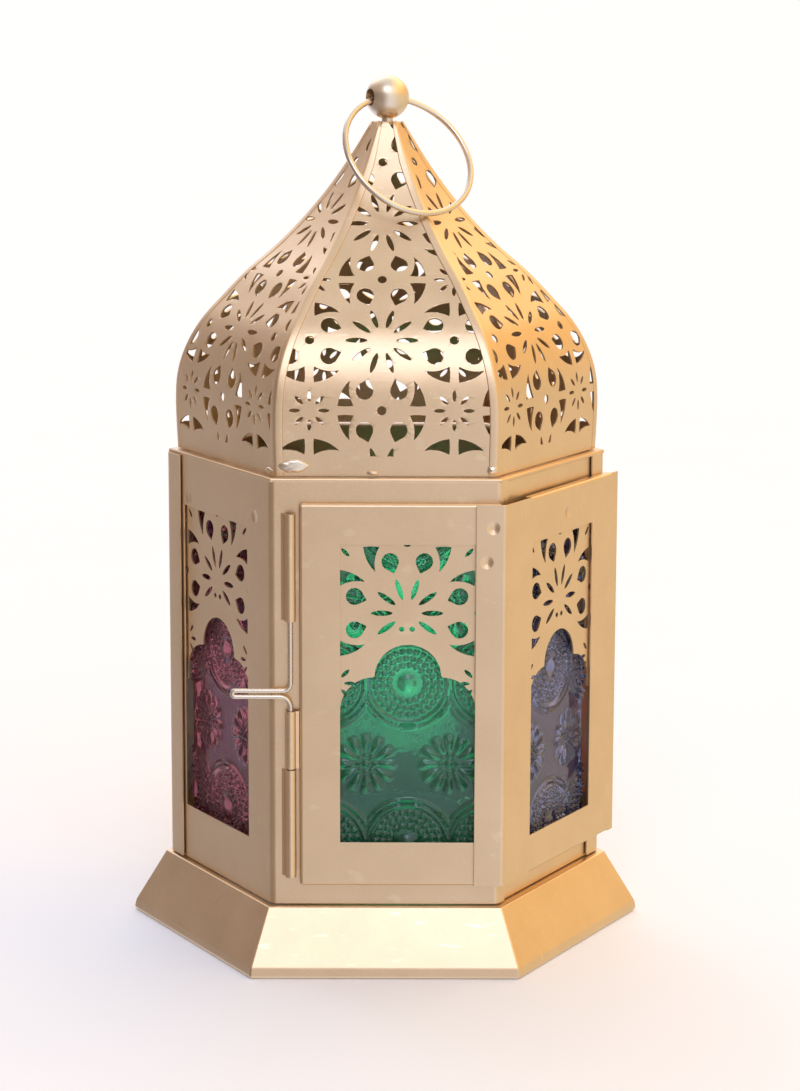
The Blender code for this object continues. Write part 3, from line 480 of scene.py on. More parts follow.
def rounded(bm, radius, steps=3, least=12):
    """Rounds an open sheet's folds, which are its edges that turn by more than least degrees."""
    folds = [e for e in bm.edges
             if len(e.link_faces) == 2 and math.degrees(e.calc_face_angle()) > least]
    bmesh.ops.bevel(bm, geom=folds, offset=radius, segments=steps, profile=0.5,
                    affect="EDGES", clamp_overlap=True)


def broken(obj, width, segments, least=50):
    """Bevels the edges that turn by more than least degrees."""
    modified(obj, "BEVEL", width=width, segments=segments, limit_method="ANGLE",
             angle_limit=math.radians(least), use_clamp_overlap=True)


def thickened(obj, thickness, edge=0.08 * MM):
    """Gives a sheet its thickness, inwards, and breaks its sharp edges."""
    modified(obj, "SOLIDIFY", thickness=thickness, offset=-1, use_even_offset=True)
    broken(obj, edge, 2)
    return evened(obj)


def evened(obj):
    """Makes an object a plain mesh whose broad faces shade flat and whose folds shade round."""
    obj.data.polygons.foreach_set("use_smooth", [True] * len(obj.data.polygons))
    modified(obj, "WEIGHTED_NORMAL", weight=90)
    return plain(obj)


def folded_wall(name, stops, levels, openings, fold, bottom_rim=None, top_rim=None):
    """A sheet that follows stops in plan and levels in height, less the cells in an opening.
    A rim turns the bottom or the top edge in, between two of the stops, to a distance n."""
    bm = bmesh.new()
    rows = [[bm.verts.new((*stop.xy, z)) for stop in stops] for z in levels]
    for lower, upper in zip(rows, rows[1:]):
        for k in range(len(stops) - 1):
            loop = (lower[k], lower[k + 1], upper[k + 1], upper[k])
            middle = sum((v.co for v in loop), Vector()) / 4
            if not any(opening(middle) for opening in openings):
                bm.faces.new(loop)
    for row, rim in ((rows[0], bottom_rim), (rows[-1], top_rim)):
        if rim is None:
            continue
        angle, n, first, last = rim
        outer = row[first:last + 1]
        inner = [bm.verts.new((*place(angle, n, face_place(angle, v.co)[1], 0).xy, v.co.z))
                 for v in outer]
        webbed(bm, [outer, inner])
    bmesh.ops.remove_doubles(bm, verts=bm.verts, dist=0.02 * MM)
    loose = [v for v in bm.verts if not v.link_faces]
    bmesh.ops.delete(bm, geom=loose, context="VERTS")
    outwards(bm)
    rounded(bm, fold)
    return thickened(from_bmesh(name, bm), SHEET)


def turned(name, profile, steps):
    """A piece turned about the lantern's axis from its profile of (radius, height)."""
    bm = bmesh.new()
    turns = [2 * math.pi * k / steps for k in range(steps)]
    rings = [[bm.verts.new((radius * math.cos(t), radius * math.sin(t), height)) for t in turns]
             for radius, height in profile]
    webbed(bm, [ring + ring[:1] for ring in rings])
    bmesh.ops.recalc_face_normals(bm, faces=bm.faces)
    return from_bmesh(name, bm)


def swept_tube(name, path, radius, closed=False):
    """A round wire along a path of points, with domed ends."""
    curve = bpy.data.curves.new(name, "CURVE")
    curve.dimensions = "3D"
    curve.bevel_depth = radius
    curve.bevel_resolution = 4
    curve.use_fill_caps = True
    spline = curve.splines.new("POLY")
    spline.points.add(len(path) - 1)
    for point, co in zip(spline.points, path):
        point.co = (*co, 1)
    spline.use_cyclic_u = closed
    return plain(linked(name, curve))


def arc_points(centre, radius, start, end, steps):
    """Points (x, y) on an arc, from start to end in degrees."""
    turns = [math.radians(start + (end - start) * k / steps) for k in range(steps + 1)]
    return [(centre[0] + radius * math.cos(t), centre[1] + radius * math.sin(t)) for t in turns]


def bowed(start, control, end, steps):
    """Points on a quadratic curve, without its last one."""
    out = []
    for k in range(steps):
        t = k / steps
        out.append(tuple((1 - t) ** 2 * a + 2 * t * (1 - t) * c + t * t * b
                         for a, c, b in zip(start, control, end)))
    return out


def turned_outline(outline, degrees):
    c, s = math.cos(math.radians(degrees)), math.sin(math.radians(degrees))
    return [(x * c - y * s, x * s + y * c) for x, y in outline]


# ---------------------------------------------------------------- the pierced pattern


SLIT_START, SLIT_END, SLIT_WIDTH = 3.2 * MM, 8.1 * MM, 1.25 * MM
SHORT_SLIT_END = 4.4 * MM
DROP_TIP, DROP_MIDDLE, DROP_RADIUS = 9.5 * MM, 12.3 * MM, 1.95 * MM
HORN = ((9.4, 7.1), (15.0, 6.2), (15.0, 9.8))
HORN_BOWS = ((12.4, 7.7), (11.4, 9.3))
SMALL_SLIT_START, SMALL_SLIT_END, SMALL_SLIT_WIDTH = 2.0 * MM, 4.5 * MM, 0.9 * MM
DOT_RADIUS = 1.05 * MM


def slit_outline(start, end, width):
    """A lens with rounded tips, along +X."""
    middle, half, nose = (start + end) / 2, (end - start) / 2, 0.22
    side = [(middle + half * math.cos(t), width / 2 * math.sin(t) ** (1 + nose))
            for t in (math.pi * k / 8 for k in range(9))]
    return side[:-1] + [(x, -y) for x, y in side[::-1]][:-1]


def drop_outline():
    rim = arc_points((DROP_MIDDLE, 0), DROP_RADIUS, -125, 125, 10)
    return rim + [(DROP_TIP + 0.25 * MM, 0.3 * MM), (DROP_TIP, 0), (DROP_TIP + 0.25 * MM, -0.3 * MM)]


def horn_outline():
    tip, low, high = ((x * MM, y * MM) for x, y in HORN)
    below, above = ((x * MM, y * MM) for x, y in HORN_BOWS)
    edge = ((low[0] + 0.25 * MM), (low[1] + high[1]) / 2)
    return bowed(tip, below, low, 5) + bowed(low, edge, high, 3) + bowed(high, above, tip, 5)


def flower_outlines(short=(), drops=range(8), horns=range(8)):
    """The flower, its drops and its horns, about (0, 0). short lists the stunted slits."""
    outlines = [turned_outline(slit_outline(SLIT_START, SHORT_SLIT_END if k in short else SLIT_END,
                                            SLIT_WIDTH), 36 * k) for k in range(10)]
    turns = (18, 72, 108, 162, 198, 252, 288, 342)
    outlines += [turned_outline(drop_outline(), turns[k]) for k in drops]
    horn = horn_outline()
    crossed = [(y, x) for x, y in horn]
    signs = ((1, 1), (-1, 1), (-1, -1), (1, -1))
    every = [[(x * sx, y * sy) for x, y in shape] for shape in (horn, crossed) for sx, sy in signs]
    return outlines + [every[k] for k in horns]


def small_flower_outlines():
    slit = slit_outline(SMALL_SLIT_START, SMALL_SLIT_END, SMALL_SLIT_WIDTH)
    return [turned_outline(slit, 45 * k) for k in range(8)]


def dot_outlines():
    return [arc_points((0, 0), DOT_RADIUS, 0, 330, 11)]


def punch(name, outlines):
    """A hidden flat curve that holds one group of punched holes."""
    curve = bpy.data.curves.new(name, "CURVE")
    curve.dimensions = "2D"
    curve.fill_mode = "NONE"
    for outline in outlines:
        spline = curve.splines.new("POLY")
        spline.points.add(len(outline) - 1)
        for point, (x, y) in zip(spline.points, outline):
            point.co = (x, y, 0, 1)
        spline.use_cyclic_u = True
    obj = linked(name, curve)
    obj.hide_render = True
    return obj


def group_tree(name, inputs):
    """A geometry node tree with a geometry input and output, and named inputs."""
    tree = bpy.data.node_groups.new(name, "GeometryNodeTree")
    tree.interface.new_socket("Geometry", in_out="INPUT", socket_type="NodeSocketGeometry")
    for label, kind in inputs.items():
        tree.interface.new_socket(label, in_out="INPUT", socket_type=f"NodeSocket{kind}")
    tree.interface.new_socket("Geometry", in_out="OUTPUT", socket_type="NodeSocketGeometry")
    board = Board(tree)
    entry = tree.nodes.new("NodeGroupInput")
    given = {label: Wire(board, entry.outputs[label]) for label in inputs}
    given["Geometry"] = Wire(board, entry.outputs["Geometry"])
    return board, given


def grown(obj, board, values):
    """Runs a geometry node tree on an object with these input values and makes it a plain mesh."""
    modifier = obj.modifiers.new(board.tree.name, "NODES")
    modifier.node_group = board.tree
    named = {item.name: item.identifier for item in board.tree.interface.items_tree
             if item.in_out == "INPUT"}
    for label, value in values.items():
        modifier[named[label]] = value
    return plain(obj)


def perforation_tree():
    """Fills a rectangle, less a lattice of flowers, small flowers at its corners and dots."""
    board, given = group_tree("perforated_sheet", {
        "Flower": "Object", "Small Flower": "Object", "Dot": "Object", "Pitch": "Float",
        "Columns": "Int", "Rows": "Int", "Margin": "Float", "Material": "Material"})
    add = board.add
    pitch, columns, rows = given["Pitch"], given["Columns"], given["Rows"]
    wide, high = pitch * columns, pitch * rows

    def lattice(stamp, across, along, width, depth):
        points = add("GeometryNodeMeshGrid", {"Size X": width, "Size Y": depth,
                                              "Vertices X": across, "Vertices Y": along})
        shape = add("GeometryNodeObjectInfo", {"Object": given[stamp]}, out="Geometry")
        return add("GeometryNodeInstanceOnPoints", {"Points": points, "Instance": shape})

    def counted(value):
        return add("FunctionNodeFloatToInt", [value])

    more_across, more_along = counted(columns + 1), counted(rows + 1)
    stamps = [lattice("Flower", columns, rows, wide - pitch, high - pitch),
              lattice("Small Flower", more_across, more_along, wide, high),
              lattice("Dot", more_across, rows, wide, high - pitch),
              lattice("Dot", columns, more_along, wide - pitch, high)]
    rectangle = add("GeometryNodeCurvePrimitiveQuadrilateral",
                    {"Width": wide + given["Margin"], "Height": high + given["Margin"]})
    whole = add("GeometryNodeRealizeInstances", [board.joined((*stamps, rectangle))])
    filled = add("GeometryNodeFillCurve", {"Curve": whole})
    painted = add("GeometryNodeSetMaterial", {"Geometry": filled, "Material": given["Material"]})
    add("NodeGroupOutput", [painted])
    return board


PATTERN = {}


def pierced(name, columns, rows, kind):
    """A flat pierced sheet about (0, 0), as a bmesh. kind picks the whole or the screen's flower."""
    if not PATTERN:
        PATTERN["tree"] = perforation_tree()
        PATTERN["whole"] = punch("punch_flower", flower_outlines())
        PATTERN["screen"] = punch("punch_screen_flower", flower_outlines(
            short=(7, 8), drops=(0, 1, 2, 3, 4, 7), horns=(0, 1, 2, 3, 4, 5)))
        PATTERN["small"] = punch("punch_small_flower", small_flower_outlines())
        PATTERN["dot"] = punch("punch_dot", dot_outlines())
    sizes = bpy.context.scene.lantern_sizes
    sheet = grown(linked(name, bpy.data.meshes.new(name)), PATTERN["tree"], {
        "Flower": PATTERN[kind], "Small Flower": PATTERN["small"], "Dot": PATTERN["dot"],
        "Pitch": sizes.pitch, "Columns": columns, "Rows": rows, "Margin": 12 * MM,
        "Material": finish("gold_paint")})
    bm = bmesh.new()
    bm.from_mesh(sheet.data)
    bpy.data.objects.remove(sheet)
    bmesh.ops.remove_doubles(bm, verts=bm.verts, dist=0.005 * MM)
    return bm


def trimmed(bm, point, normal, clear=True):
    """Cuts a bmesh's faces at a plane and, with clear, drops the normal's side."""
    bmesh.ops.bisect_plane(bm, geom=[*bm.verts, *bm.edges, *bm.faces], plane_co=point,
                           plane_no=normal, clear_outer=clear, dist=0.002 * MM)


# ---------------------------------------------------------------- the dome's outline


def ridge_line():
    """Points (radius, height) on the dome's ridge, smoothed through its outline."""
    height = DOME_TOP - DOME_FOOT
    knots = [Vector((DOME_RADIUS * r, DOME_FOOT + height * h)) for r, h in DOME_OUTLINE]
    knots.append(Vector((NECK_RADIUS, DOME_TOP)))
    path = [knots[0]]
    for k in range(len(knots) - 1):
        before, start = knots[max(k - 1, 0)], knots[k]
        end, after = knots[k + 1], knots[min(k + 2, len(knots) - 1)]
        for step in range(1, 9):
            t = step / 8
            path.append(0.5 * (2 * start + (end - before) * t
                               + (2 * before - 5 * start + 4 * end - after) * t**2
                               + (3 * start - before - 3 * end + after) * t**3))
    return path


RIDGE = ridge_line()
FACE_LINE = [Vector((p.x * math.cos(HALF_ANGLE), p.y)) for p in RIDGE]
FACE_LENGTHS = np.concatenate([[0], np.cumsum([(b - a).length for a, b in zip(FACE_LINE, FACE_LINE[1:])])])
FACE_N = np.array([p.x for p in FACE_LINE])
FACE_Z = np.array([p.y for p in FACE_LINE])


def on_gore(s):
    """(n, z) at the distance s up the middle of a gore."""
    return float(np.interp(s, FACE_LENGTHS, FACE_N)), float(np.interp(s, FACE_LENGTHS, FACE_Z))


def gore_normal(s):
    """(n, z) parts of the outward normal at the distance s up a gore."""
    low, high = on_gore(s - 0.5 * MM), on_gore(s + 0.5 * MM)
    along = Vector((high[0] - low[0], high[1] - low[1])).normalized()
    return along.y, -along.x


# ---------------------------------------------------------------- settings and operators


class LanternSizes(bpy.types.PropertyGroup):
    """Sizes of the details that the CAD model leaves plain."""

    body_fold: FloatProperty(name="Body fold", description="Radius of the body's vertical folds",
                             default=1.0 * MM, unit="LENGTH")
    door_fold: FloatProperty(name="Door fold", description="Radius of the folds round the door",
                             default=0.75 * MM, unit="LENGTH")
    skirt_fold: FloatProperty(name="Skirt fold", description="Radius of the skirt's folds",
                              default=0.55 * MM, unit="LENGTH")
    lip: FloatProperty(name="Skirt lip", description="Height of the upright lip round the foot",
                       default=2.3 * MM, unit="LENGTH")
    pitch: FloatProperty(name="Pattern pitch", description="Distance between punched flowers",
                         default=32.1 * MM, unit="LENGTH")
    seam: FloatProperty(name="Ridge seam", description="Width of the seam on each side of a ridge",
                        default=1.9 * MM, unit="LENGTH")
    relief: FloatProperty(name="Glass relief", description="Depth of the pressed pattern",
                          default=1.0 * MM, unit="LENGTH")
    grid: FloatProperty(name="Glass grid", description="Mesh spacing of the pressed pattern",
                        default=0.33 * MM, unit="LENGTH")
    seed: IntProperty(name="Seed", description="Seed of the solder blobs", default=7)


class LanternFinishes(bpy.types.PropertyGroup):
    """Colours of the finishes."""

    gold: FloatVectorProperty(name="Gold paint", description="Satin paint of the sheet parts",
                              default=(0.82, 0.585, 0.345), subtype="COLOR")
    gold_dull: FloatVectorProperty(name="Gold shade", description="Paint where it is duller",
                                   default=(0.765, 0.535, 0.305), subtype="COLOR")
    gold_rough: FloatProperty(name="Gold roughness", description="Roughness of the satin paint",
                              default=0.36)
    wire: FloatVectorProperty(name="Wire", description="Lacquered wire of the ring and the bolt",
                              default=(0.84, 0.70, 0.52), subtype="COLOR")
    brass: FloatVectorProperty(name="Old brass", description="The bead on top",
                               default=(0.90, 0.73, 0.52), subtype="COLOR")
    tin: FloatVectorProperty(name="Tinplate", description="The candle cup",
                             default=(0.62, 0.60, 0.55), subtype="COLOR")
    green: FloatVectorProperty(name="Green glass", description="Front and back panes",
                               default=(0.20, 0.98, 0.60), subtype="COLOR")
    rose: FloatVectorProperty(name="Rose glass", description="Left front and right back panes",
                              default=(0.50, 0.16, 0.22), subtype="COLOR")
    blue: FloatVectorProperty(name="Blue glass", description="Right front and left back panes",
                              default=(0.24, 0.27, 0.48), subtype="COLOR")
    ground: FloatVectorProperty(name="Floor", description="The pale floor",
                                default=(0.985, 0.985, 1.0), subtype="COLOR")


class LANTERN_OT_base(bpy.types.Operator):
    """Make the flared base with its rolled lip and turned-in hem"""

    bl_idname = "lantern.base"
    bl_label = "Base"

    LEDGE = 1.55 * MM
    LEAN = 0.35 * MM
    CURL = 0.5 * MM
    HEM = 3.0 * MM
    THICKNESS = 0.6 * MM

    def execute(self, context):
        sizes = context.scene.lantern_sizes
        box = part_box("base_skirt")
        foot, height = box[1].x, box[1].z
        profile = [(BODY_RADIUS + self.LEDGE, height), (foot - self.LEAN, sizes.lip),
                   (foot, self.CURL), (foot - self.CURL, 0), (foot - self.HEM, 0)]
        bm = bmesh.new()
        rings = [hexagon(bm, r, z) for r, z in profile]
        bm.faces.new(rings[0])
        for upper, lower in zip(rings, rings[1:]):
            for k in range(6):
                bm.faces.new((upper[k], lower[k], lower[(k + 1) % 6], upper[(k + 1) % 6]))
        bmesh.ops.recalc_face_normals(bm, faces=bm.faces)
        if max(bm.faces, key=lambda f: f.calc_area()).normal.z < 0:
            bmesh.ops.reverse_faces(bm, faces=bm.faces)
        rounded(bm, sizes.skirt_fold, 3, 8)
        skirt = thickened(from_bmesh("skirt", bm), self.THICKNESS)
        settled(skirt, "gold_paint", "root", ["base_skirt"])
        return {"FINISHED"}


class LANTERN_OT_body(bpy.types.Operator):
    """Make the folded walls and the shoulder, and finish the two strips of the doorway"""

    bl_idname = "lantern.body"
    bl_label = "Body"

    LATCH_JAMB = 2.8 * MM
    RETURN = 3.2 * MM
    HINGE_JAMB = 6.0 * MM
    BEAD = 0.5 * MM
    SHOULDER = 7.0 * MM

    def execute(self, context):
        sizes = context.scene.lantern_sizes
        self.front_wall(sizes)
        self.back_walls(sizes)
        self.shoulder()
        for strip in ("side_sill", "side_lintel"):
            dressed(strip, "gold_paint")
        return {"FINISHED"}

    def front_wall(self, sizes):
        window = OPENINGS["left_front"]
        jamb = DOOR_LATCH_SIDE + self.LATCH_JAMB
        ridge = corner(FRONT, BODY_FACE, BODY_FACE)
        start = extent("front_shell", LEFT_FRONT)[1][0]
        end = face_place(RIGHT_FRONT, ridge)[1] + self.RETURN
        sill, lintel = extent("side_sill", RIGHT_FRONT)[2][1], extent("side_lintel", RIGHT_FRONT)[2][0]
        stops = [place(LEFT_FRONT, BODY_FACE, u, 0) for u in (start, window.left, window.right)]
        stops += [corner(LEFT_FRONT, BODY_FACE, BODY_FACE), place(FRONT, BODY_FACE, jamb, 0), ridge,
                  place(RIGHT_FRONT, BODY_FACE, end, 0)]
        levels = sorted({BODY_FOOT, sill, window.bottom, window.top, lintel, BODY_TOP})

        def doorway(point):
            n, u = face_place(FRONT, point)
            return u > jamb and n > 0 and sill < point.z < lintel

        wall = folded_wall("front_wall", stops, levels, [window.holds, doorway], sizes.body_fold)
        settled(wall, "gold_paint", "root", ["front_shell"])

    def back_walls(self, sizes):
        for face, node in (("right_back", "right_back_panel"), ("back", "back_panel"),
                           ("left_back", "left_back_panel")):
            angle, window = FACES[face], OPENINGS[face]
            if face == "right_back":
                stops = [place(RIGHT_FRONT, BODY_FACE, HALF_SIDE - self.HINGE_JAMB, 0),
                         corner(RIGHT_FRONT, BODY_FACE, BODY_FACE)]
            else:
                stops = [place(angle, BODY_FACE, extent(node, angle)[1][0], 0)]
            stops += [place(angle, BODY_FACE, u, 0) for u in (window.left, window.right)]
            stops.append(corner(angle, BODY_FACE, LAP_FACE))
            stops.append(place(angle + 60, LAP_FACE, extent(node, angle + 60)[1][1], 0))
            levels = [BODY_FOOT, window.bottom, window.top, BODY_TOP]
            wall = folded_wall(f"{face}_wall", stops, levels, [window.holds], sizes.body_fold)
            settled(wall, "gold_paint", "root", [node])

    def shoulder(self):
        """A level ring whose outer edge is rolled into a bead over the walls' tops."""
        top = extent("roof_shoulder", FRONT)[2][1]
        bead = self.BEAD
        inner = BODY_RADIUS - self.SHOULDER
        section = [(inner, top - SHEET), (BODY_RADIUS - bead, top - SHEET)]
        section += [(BODY_RADIUS - bead + r, z) for r, z in
                    arc_points((0, top - bead), bead, -60, 90, 6)]
        section += [(inner, top)]
        bm = bmesh.new()
        rings = [hexagon(bm, r, z) for r, z in section]
        webbed(bm, [ring + ring[:1] for ring in rings + rings[:1]])
        bmesh.ops.recalc_face_normals(bm, faces=bm.faces)
        settled(from_bmesh("shoulder", bm), "gold_paint", "root", ["roof_shoulder"])


def dressed(node, slot):
    """Gives a CAD node that stays in view its finish."""
    obj = NODES[node]
    obj.data.materials.clear()
    obj.data.materials.append(finish(slot))
    return obj


class LANTERN_OT_door(bpy.types.Operator):
    """Make the door's two folded panels"""

    bl_idname = "lantern.door"
    bl_label = "Door"

    def execute(self, context):
        sizes = context.scene.lantern_sizes
        window = OPENINGS["front"]
        end = extent("door_front_panel", FRONT)[1][1]
        stops = [place(FRONT, n, u, 0) for n, u in (
            (DOOR_RIM_FACE, DOOR_LATCH_SIDE), (DOOR_FRONT_FACE, DOOR_LATCH_SIDE),
            (DOOR_FRONT_FACE, window.left), (DOOR_FRONT_FACE, window.right), (DOOR_FRONT_FACE, end - SHEET))]
        levels = [DOOR_BOTTOM, window.bottom, window.top, DOOR_TOP]
        rim = (FRONT, DOOR_RIM_FACE, 1, 4)
        front = folded_wall("door_front", stops, levels, [window.holds], sizes.door_fold, rim, rim)
        settled(front, "gold_paint", "door", ["door_front_panel"])

        window = OPENINGS["right_front"]
        stops = [place(FRONT, DOOR_LAP_FACE, DOOR_LAP_EDGE, 0), corner(FRONT, DOOR_LAP_FACE, DOOR_FACE)]
        stops += [place(RIGHT_FRONT, DOOR_FACE, u, 0)
                  for u in (window.left, window.right, HALF_SIDE, DOOR_HINGE_SIDE)]
        levels = [DOOR_BOTTOM, window.bottom, window.top, DOOR_TOP]
        rim = (RIGHT_FRONT, DOOR_RIM_FACE, 2, 4)
        side = folded_wall("door_side", stops, levels, [window.holds], sizes.door_fold, rim, rim)
        settled(side, "gold_paint", "door", ["door_side_panel"])
        return {"FINISHED"}


class LANTERN_OT_screens(bpy.types.Operator):
    """Make the six fret screens, each with its flower over a three-lobed arch"""

    bl_idname = "lantern.screens"
    bl_label = "Fret screens"

    # Where the flower sits below the window's top, and the window width that the arch is drawn for
    FLOWER_SHIFT = -0.25 * MM
    FLOWER_DROP = 15.6 * MM
    DRAWN_WIDTH = 30.3 * MM
    EDGE = 0.06 * MM
    MIDDLE_LOBE = 0.985

    def execute(self, context):
        for window in OPENINGS.values():
            self.screen(window)
        return {"FINISHED"}

    def screen(self, window):
        name = f"screen_{window.face}"
        bm = pierced(name, 1, 1, "screen")
        flower = Vector((window.middle + self.FLOWER_SHIFT, window.top - self.FLOWER_DROP, 0))
        bmesh.ops.translate(bm, verts=bm.verts, vec=flower)
        width = window.right - window.left
        spring = window.top - SCREEN_SPRING * width / self.DRAWN_WIDTH
        trimmed(bm, (window.left - SCREEN_LAP, 0, 0), (-1, 0, 0))
        trimmed(bm, (window.right + SCREEN_LAP, 0, 0), (1, 0, 0))
        trimmed(bm, (0, window.top + SCREEN_LAP, 0), (0, 1, 0))
        low = min(v.co.y for v in bm.verts)
        for v in bm.verts:
            if v.co.y < low + 0.01 * MM:
                v.co.y = spring - SCREEN_LAP
        sheet = from_bmesh(name, bm)
        modified(sheet, "SOLIDIFY", thickness=SHEET, offset=-1)
        cutter = self.arch_cutter(window, spring)
        modified(sheet, "BOOLEAN", object=cutter, operation="DIFFERENCE", solver="EXACT")
        broken(sheet, self.EDGE, 1)
        out = place(window.angle, 1, 0, 0) * (window.frame - FRAME_TO_SCREEN)
        sheet.matrix_world = Matrix.Translation(out) @ stood_up(window.angle)
        cutter.matrix_world = sheet.matrix_world
        bpy.context.view_layer.update()
        sheet = plain(sheet)
        bpy.data.objects.remove(cutter)
        settled(sheet, "gold_paint", body_of(window.face), [f"fret_screen_{window.face}"], 0)

    def arch_cutter(self, window, spring):
        lobe = (window.right - window.left) / 4
        middle = window.middle
        outline = [(window.left, spring - 30 * MM), (window.right, spring - 30 * MM)]
        outline += arc_points((middle + lobe, spring), lobe, 0, 88, 14)
        outline += arc_points((middle, spring + lobe), lobe * self.MIDDLE_LOBE, 2, 178, 26)
        outline += arc_points((middle - lobe, spring), lobe, 92, 180, 14)
        bm = bmesh.new()
        face = bm.faces.new([bm.verts.new((x, y, -4 * SHEET)) for x, y in outline])
        top = bmesh.ops.extrude_face_region(bm, geom=[face])
        lifted = [v for v in top["geom"] if isinstance(v, bmesh.types.BMVert)]
        bmesh.ops.translate(bm, verts=lifted, vec=(0, 0, 8 * SHEET))
        bmesh.ops.recalc_face_normals(bm, faces=bm.faces)
        return from_bmesh(f"arch_{window.face}", bm)


# Roundels: radius, half width and height of each ring, and radius and count of each row of beads
RINGS = ((9.05 * MM, 0.75 * MM, 0.85), (10.35 * MM, 0.6 * MM, 0.7))
BEAD_ROWS = ((4.2 * MM, 17), (5.75 * MM, 23), (7.3 * MM, 29))
BEAD_REACH = 0.8 * MM
BOSS_REACH = 2.9 * MM
PETALS, PETAL_MIDDLE, PETAL_REACH, PETAL_HEIGHT = 12.0, 4.6 * MM, 2.8 * MM, 0.95
EYE_DOTS, EYE_RADIUS, EYE_REACH, EYE_CENTRE = 8, 1.9 * MM, 0.6 * MM, 1.0 * MM
GLASS_GRAIN = 0.06


def relief_tree():
    """A pane whose outer side is pressed with ringed and beaded roundels, and with daisies
    between them. The grid lies in the XY plane, with the pattern's origin at Offset."""
    board, given = group_tree("pressed_pane", {
        "Width": "Float", "Height": "Float", "Thickness": "Float", "Relief": "Float",
        "Grid": "Float", "Offset": "Vector", "Pitch X": "Float", "Pitch Y": "Float",
        "Material": "Material"})
    add = board.add
    wide, high, cell = given["Width"], given["Height"], given["Grid"]
    across = add("FunctionNodeFloatToInt", [wide / cell])
    along = add("FunctionNodeFloatToInt", [high / cell])
    grid = add("GeometryNodeMeshGrid", {"Size X": wide, "Size Y": high,
                                        "Vertices X": across, "Vertices Y": along})
    here = add("GeometryNodeInputPosition")
    moved = add("ShaderNodeVectorMath", [here, given["Offset"]], operation="SUBTRACT")

    def nearest(value, pitch):
        """The signed distance to the nearest multiple of pitch."""
        return value.maths("WRAP", pitch * 0.5, pitch * -0.5)

    def hump(distance, reach):
        """1 at distance 0, falling smoothly to 0 at reach."""
        share = (distance.maths("ABSOLUTE") / reach).maths("MINIMUM", 1.0)
        return (1 - share * share) ** 2.0

    def polar(x, y):
        return (x * x + y * y).maths("SQRT"), y.maths("ARCTAN2", x)

    x, y = (add("ShaderNodeSeparateXYZ", [moved], out=axis) for axis in ("X", "Y"))
    radius, turn = polar(nearest(x, given["Pitch X"]), nearest(y, given["Pitch Y"]))

    def dots(distance, angle, ring, count, reach):
        """A row of count humps on a ring."""
        step = 2 * math.pi / count
        side = angle.maths("WRAP", step / 2, -step / 2) * ring
        return hump(((distance - ring) ** 2.0 + side * side).maths("SQRT"), reach)

    height = hump(radius, BOSS_REACH)
    for ring, reach, share in RINGS:
        height = height.maths("MAXIMUM", hump(radius - ring, reach) * share)
    for ring, count in BEAD_ROWS:
        height = height.maths("MAXIMUM", dots(radius, turn, ring, count, BEAD_REACH))
    x2 = nearest(x + given["Pitch X"] * 0.5, given["Pitch X"])
    y2 = nearest(y + given["Pitch Y"] * 0.5, given["Pitch Y"])
    distance, spin = polar(x2, y2)
    petal = (spin * PETALS).maths("COSINE") * 0.5 + 0.5
    daisy = petal * hump(distance - PETAL_MIDDLE, PETAL_REACH) * PETAL_HEIGHT
    eye = dots(distance, spin, EYE_RADIUS, EYE_DOTS, EYE_REACH)
    eye = eye.maths("MAXIMUM", hump(distance, EYE_CENTRE))
    height = height.maths("MAXIMUM", daisy.maths("MAXIMUM", eye))
    grain = add("ShaderNodeTexNoise", {"Vector": here, "Scale": 900.0, "Detail": 1.0})
    height = (height * (1 - GLASS_GRAIN) + grain * GLASS_GRAIN - 1.0) * given["Relief"]
    lift = add("ShaderNodeCombineXYZ", {"Z": height})
    pressed = add("GeometryNodeSetPosition", {"Geometry": grid, "Offset": lift})
    back_move = add("ShaderNodeCombineXYZ", {"Z": given["Thickness"] * -1.0})
    back = add("GeometryNodeSetPosition", {"Geometry": grid, "Offset": back_move})
    turned_back = add("GeometryNodeFlipFaces", [back])
    both = board.joined((pressed, turned_back))
    painted = add("GeometryNodeSetMaterial", {"Geometry": both, "Material": given["Material"]})
    real = add("GeometryNodeRealizeInstances", [painted])
    add("NodeGroupOutput", [real])
    return board


class LANTERN_OT_glass(bpy.types.Operator):
    """Make the six pressed glass panes"""

    bl_idname = "lantern.glass"
    bl_label = "Glass"

    SLOTS = {"front": "green_glass", "back": "green_glass", "right_front": "blue_glass",
             "left_back": "blue_glass", "left_front": "rose_glass", "right_back": "rose_glass"}
    # The roundels' spacing, and how far the first one sits below the window's top
    ACROSS, ALONG, DROP = 18.7 * MM, 37.3 * MM, 32.1 * MM

    def execute(self, context):
        sizes = context.scene.lantern_sizes
        tree = relief_tree()
        for window in OPENINGS.values():
            slot = self.SLOTS[window.face]
            width = window.right - window.left + 2 * GLASS_LAP
            height = window.top - window.bottom + 2 * GLASS_LAP
            name = f"pane_{window.face}"
            centre_z = (window.bottom + window.top) / 2
            pane = grown(linked(name, bpy.data.meshes.new(name)), tree, {
                "Width": width, "Height": height, "Thickness": window.pane[1] - window.pane[0],
                "Relief": sizes.relief, "Grid": sizes.grid,
                "Offset": (0.0, window.top - self.DROP - centre_z, 0.0),
                "Pitch X": self.ACROSS, "Pitch Y": self.ALONG, "Material": finish(slot)})
            mended(pane, self.closed)
            middle = place(window.angle, window.pane[1], window.middle, centre_z)
            pane.data.transform(Matrix.Translation(middle) @ stood_up(window.angle))
            settled(pane, slot, body_of(window.face), [f"glass_{window.face}"], 60)
        return {"FINISHED"}

    def closed(self, bm):
        """Joins the pressed side to the flat side all round."""
        bmesh.ops.bridge_loops(bm, edges=[e for e in bm.edges if len(e.link_faces) == 1])


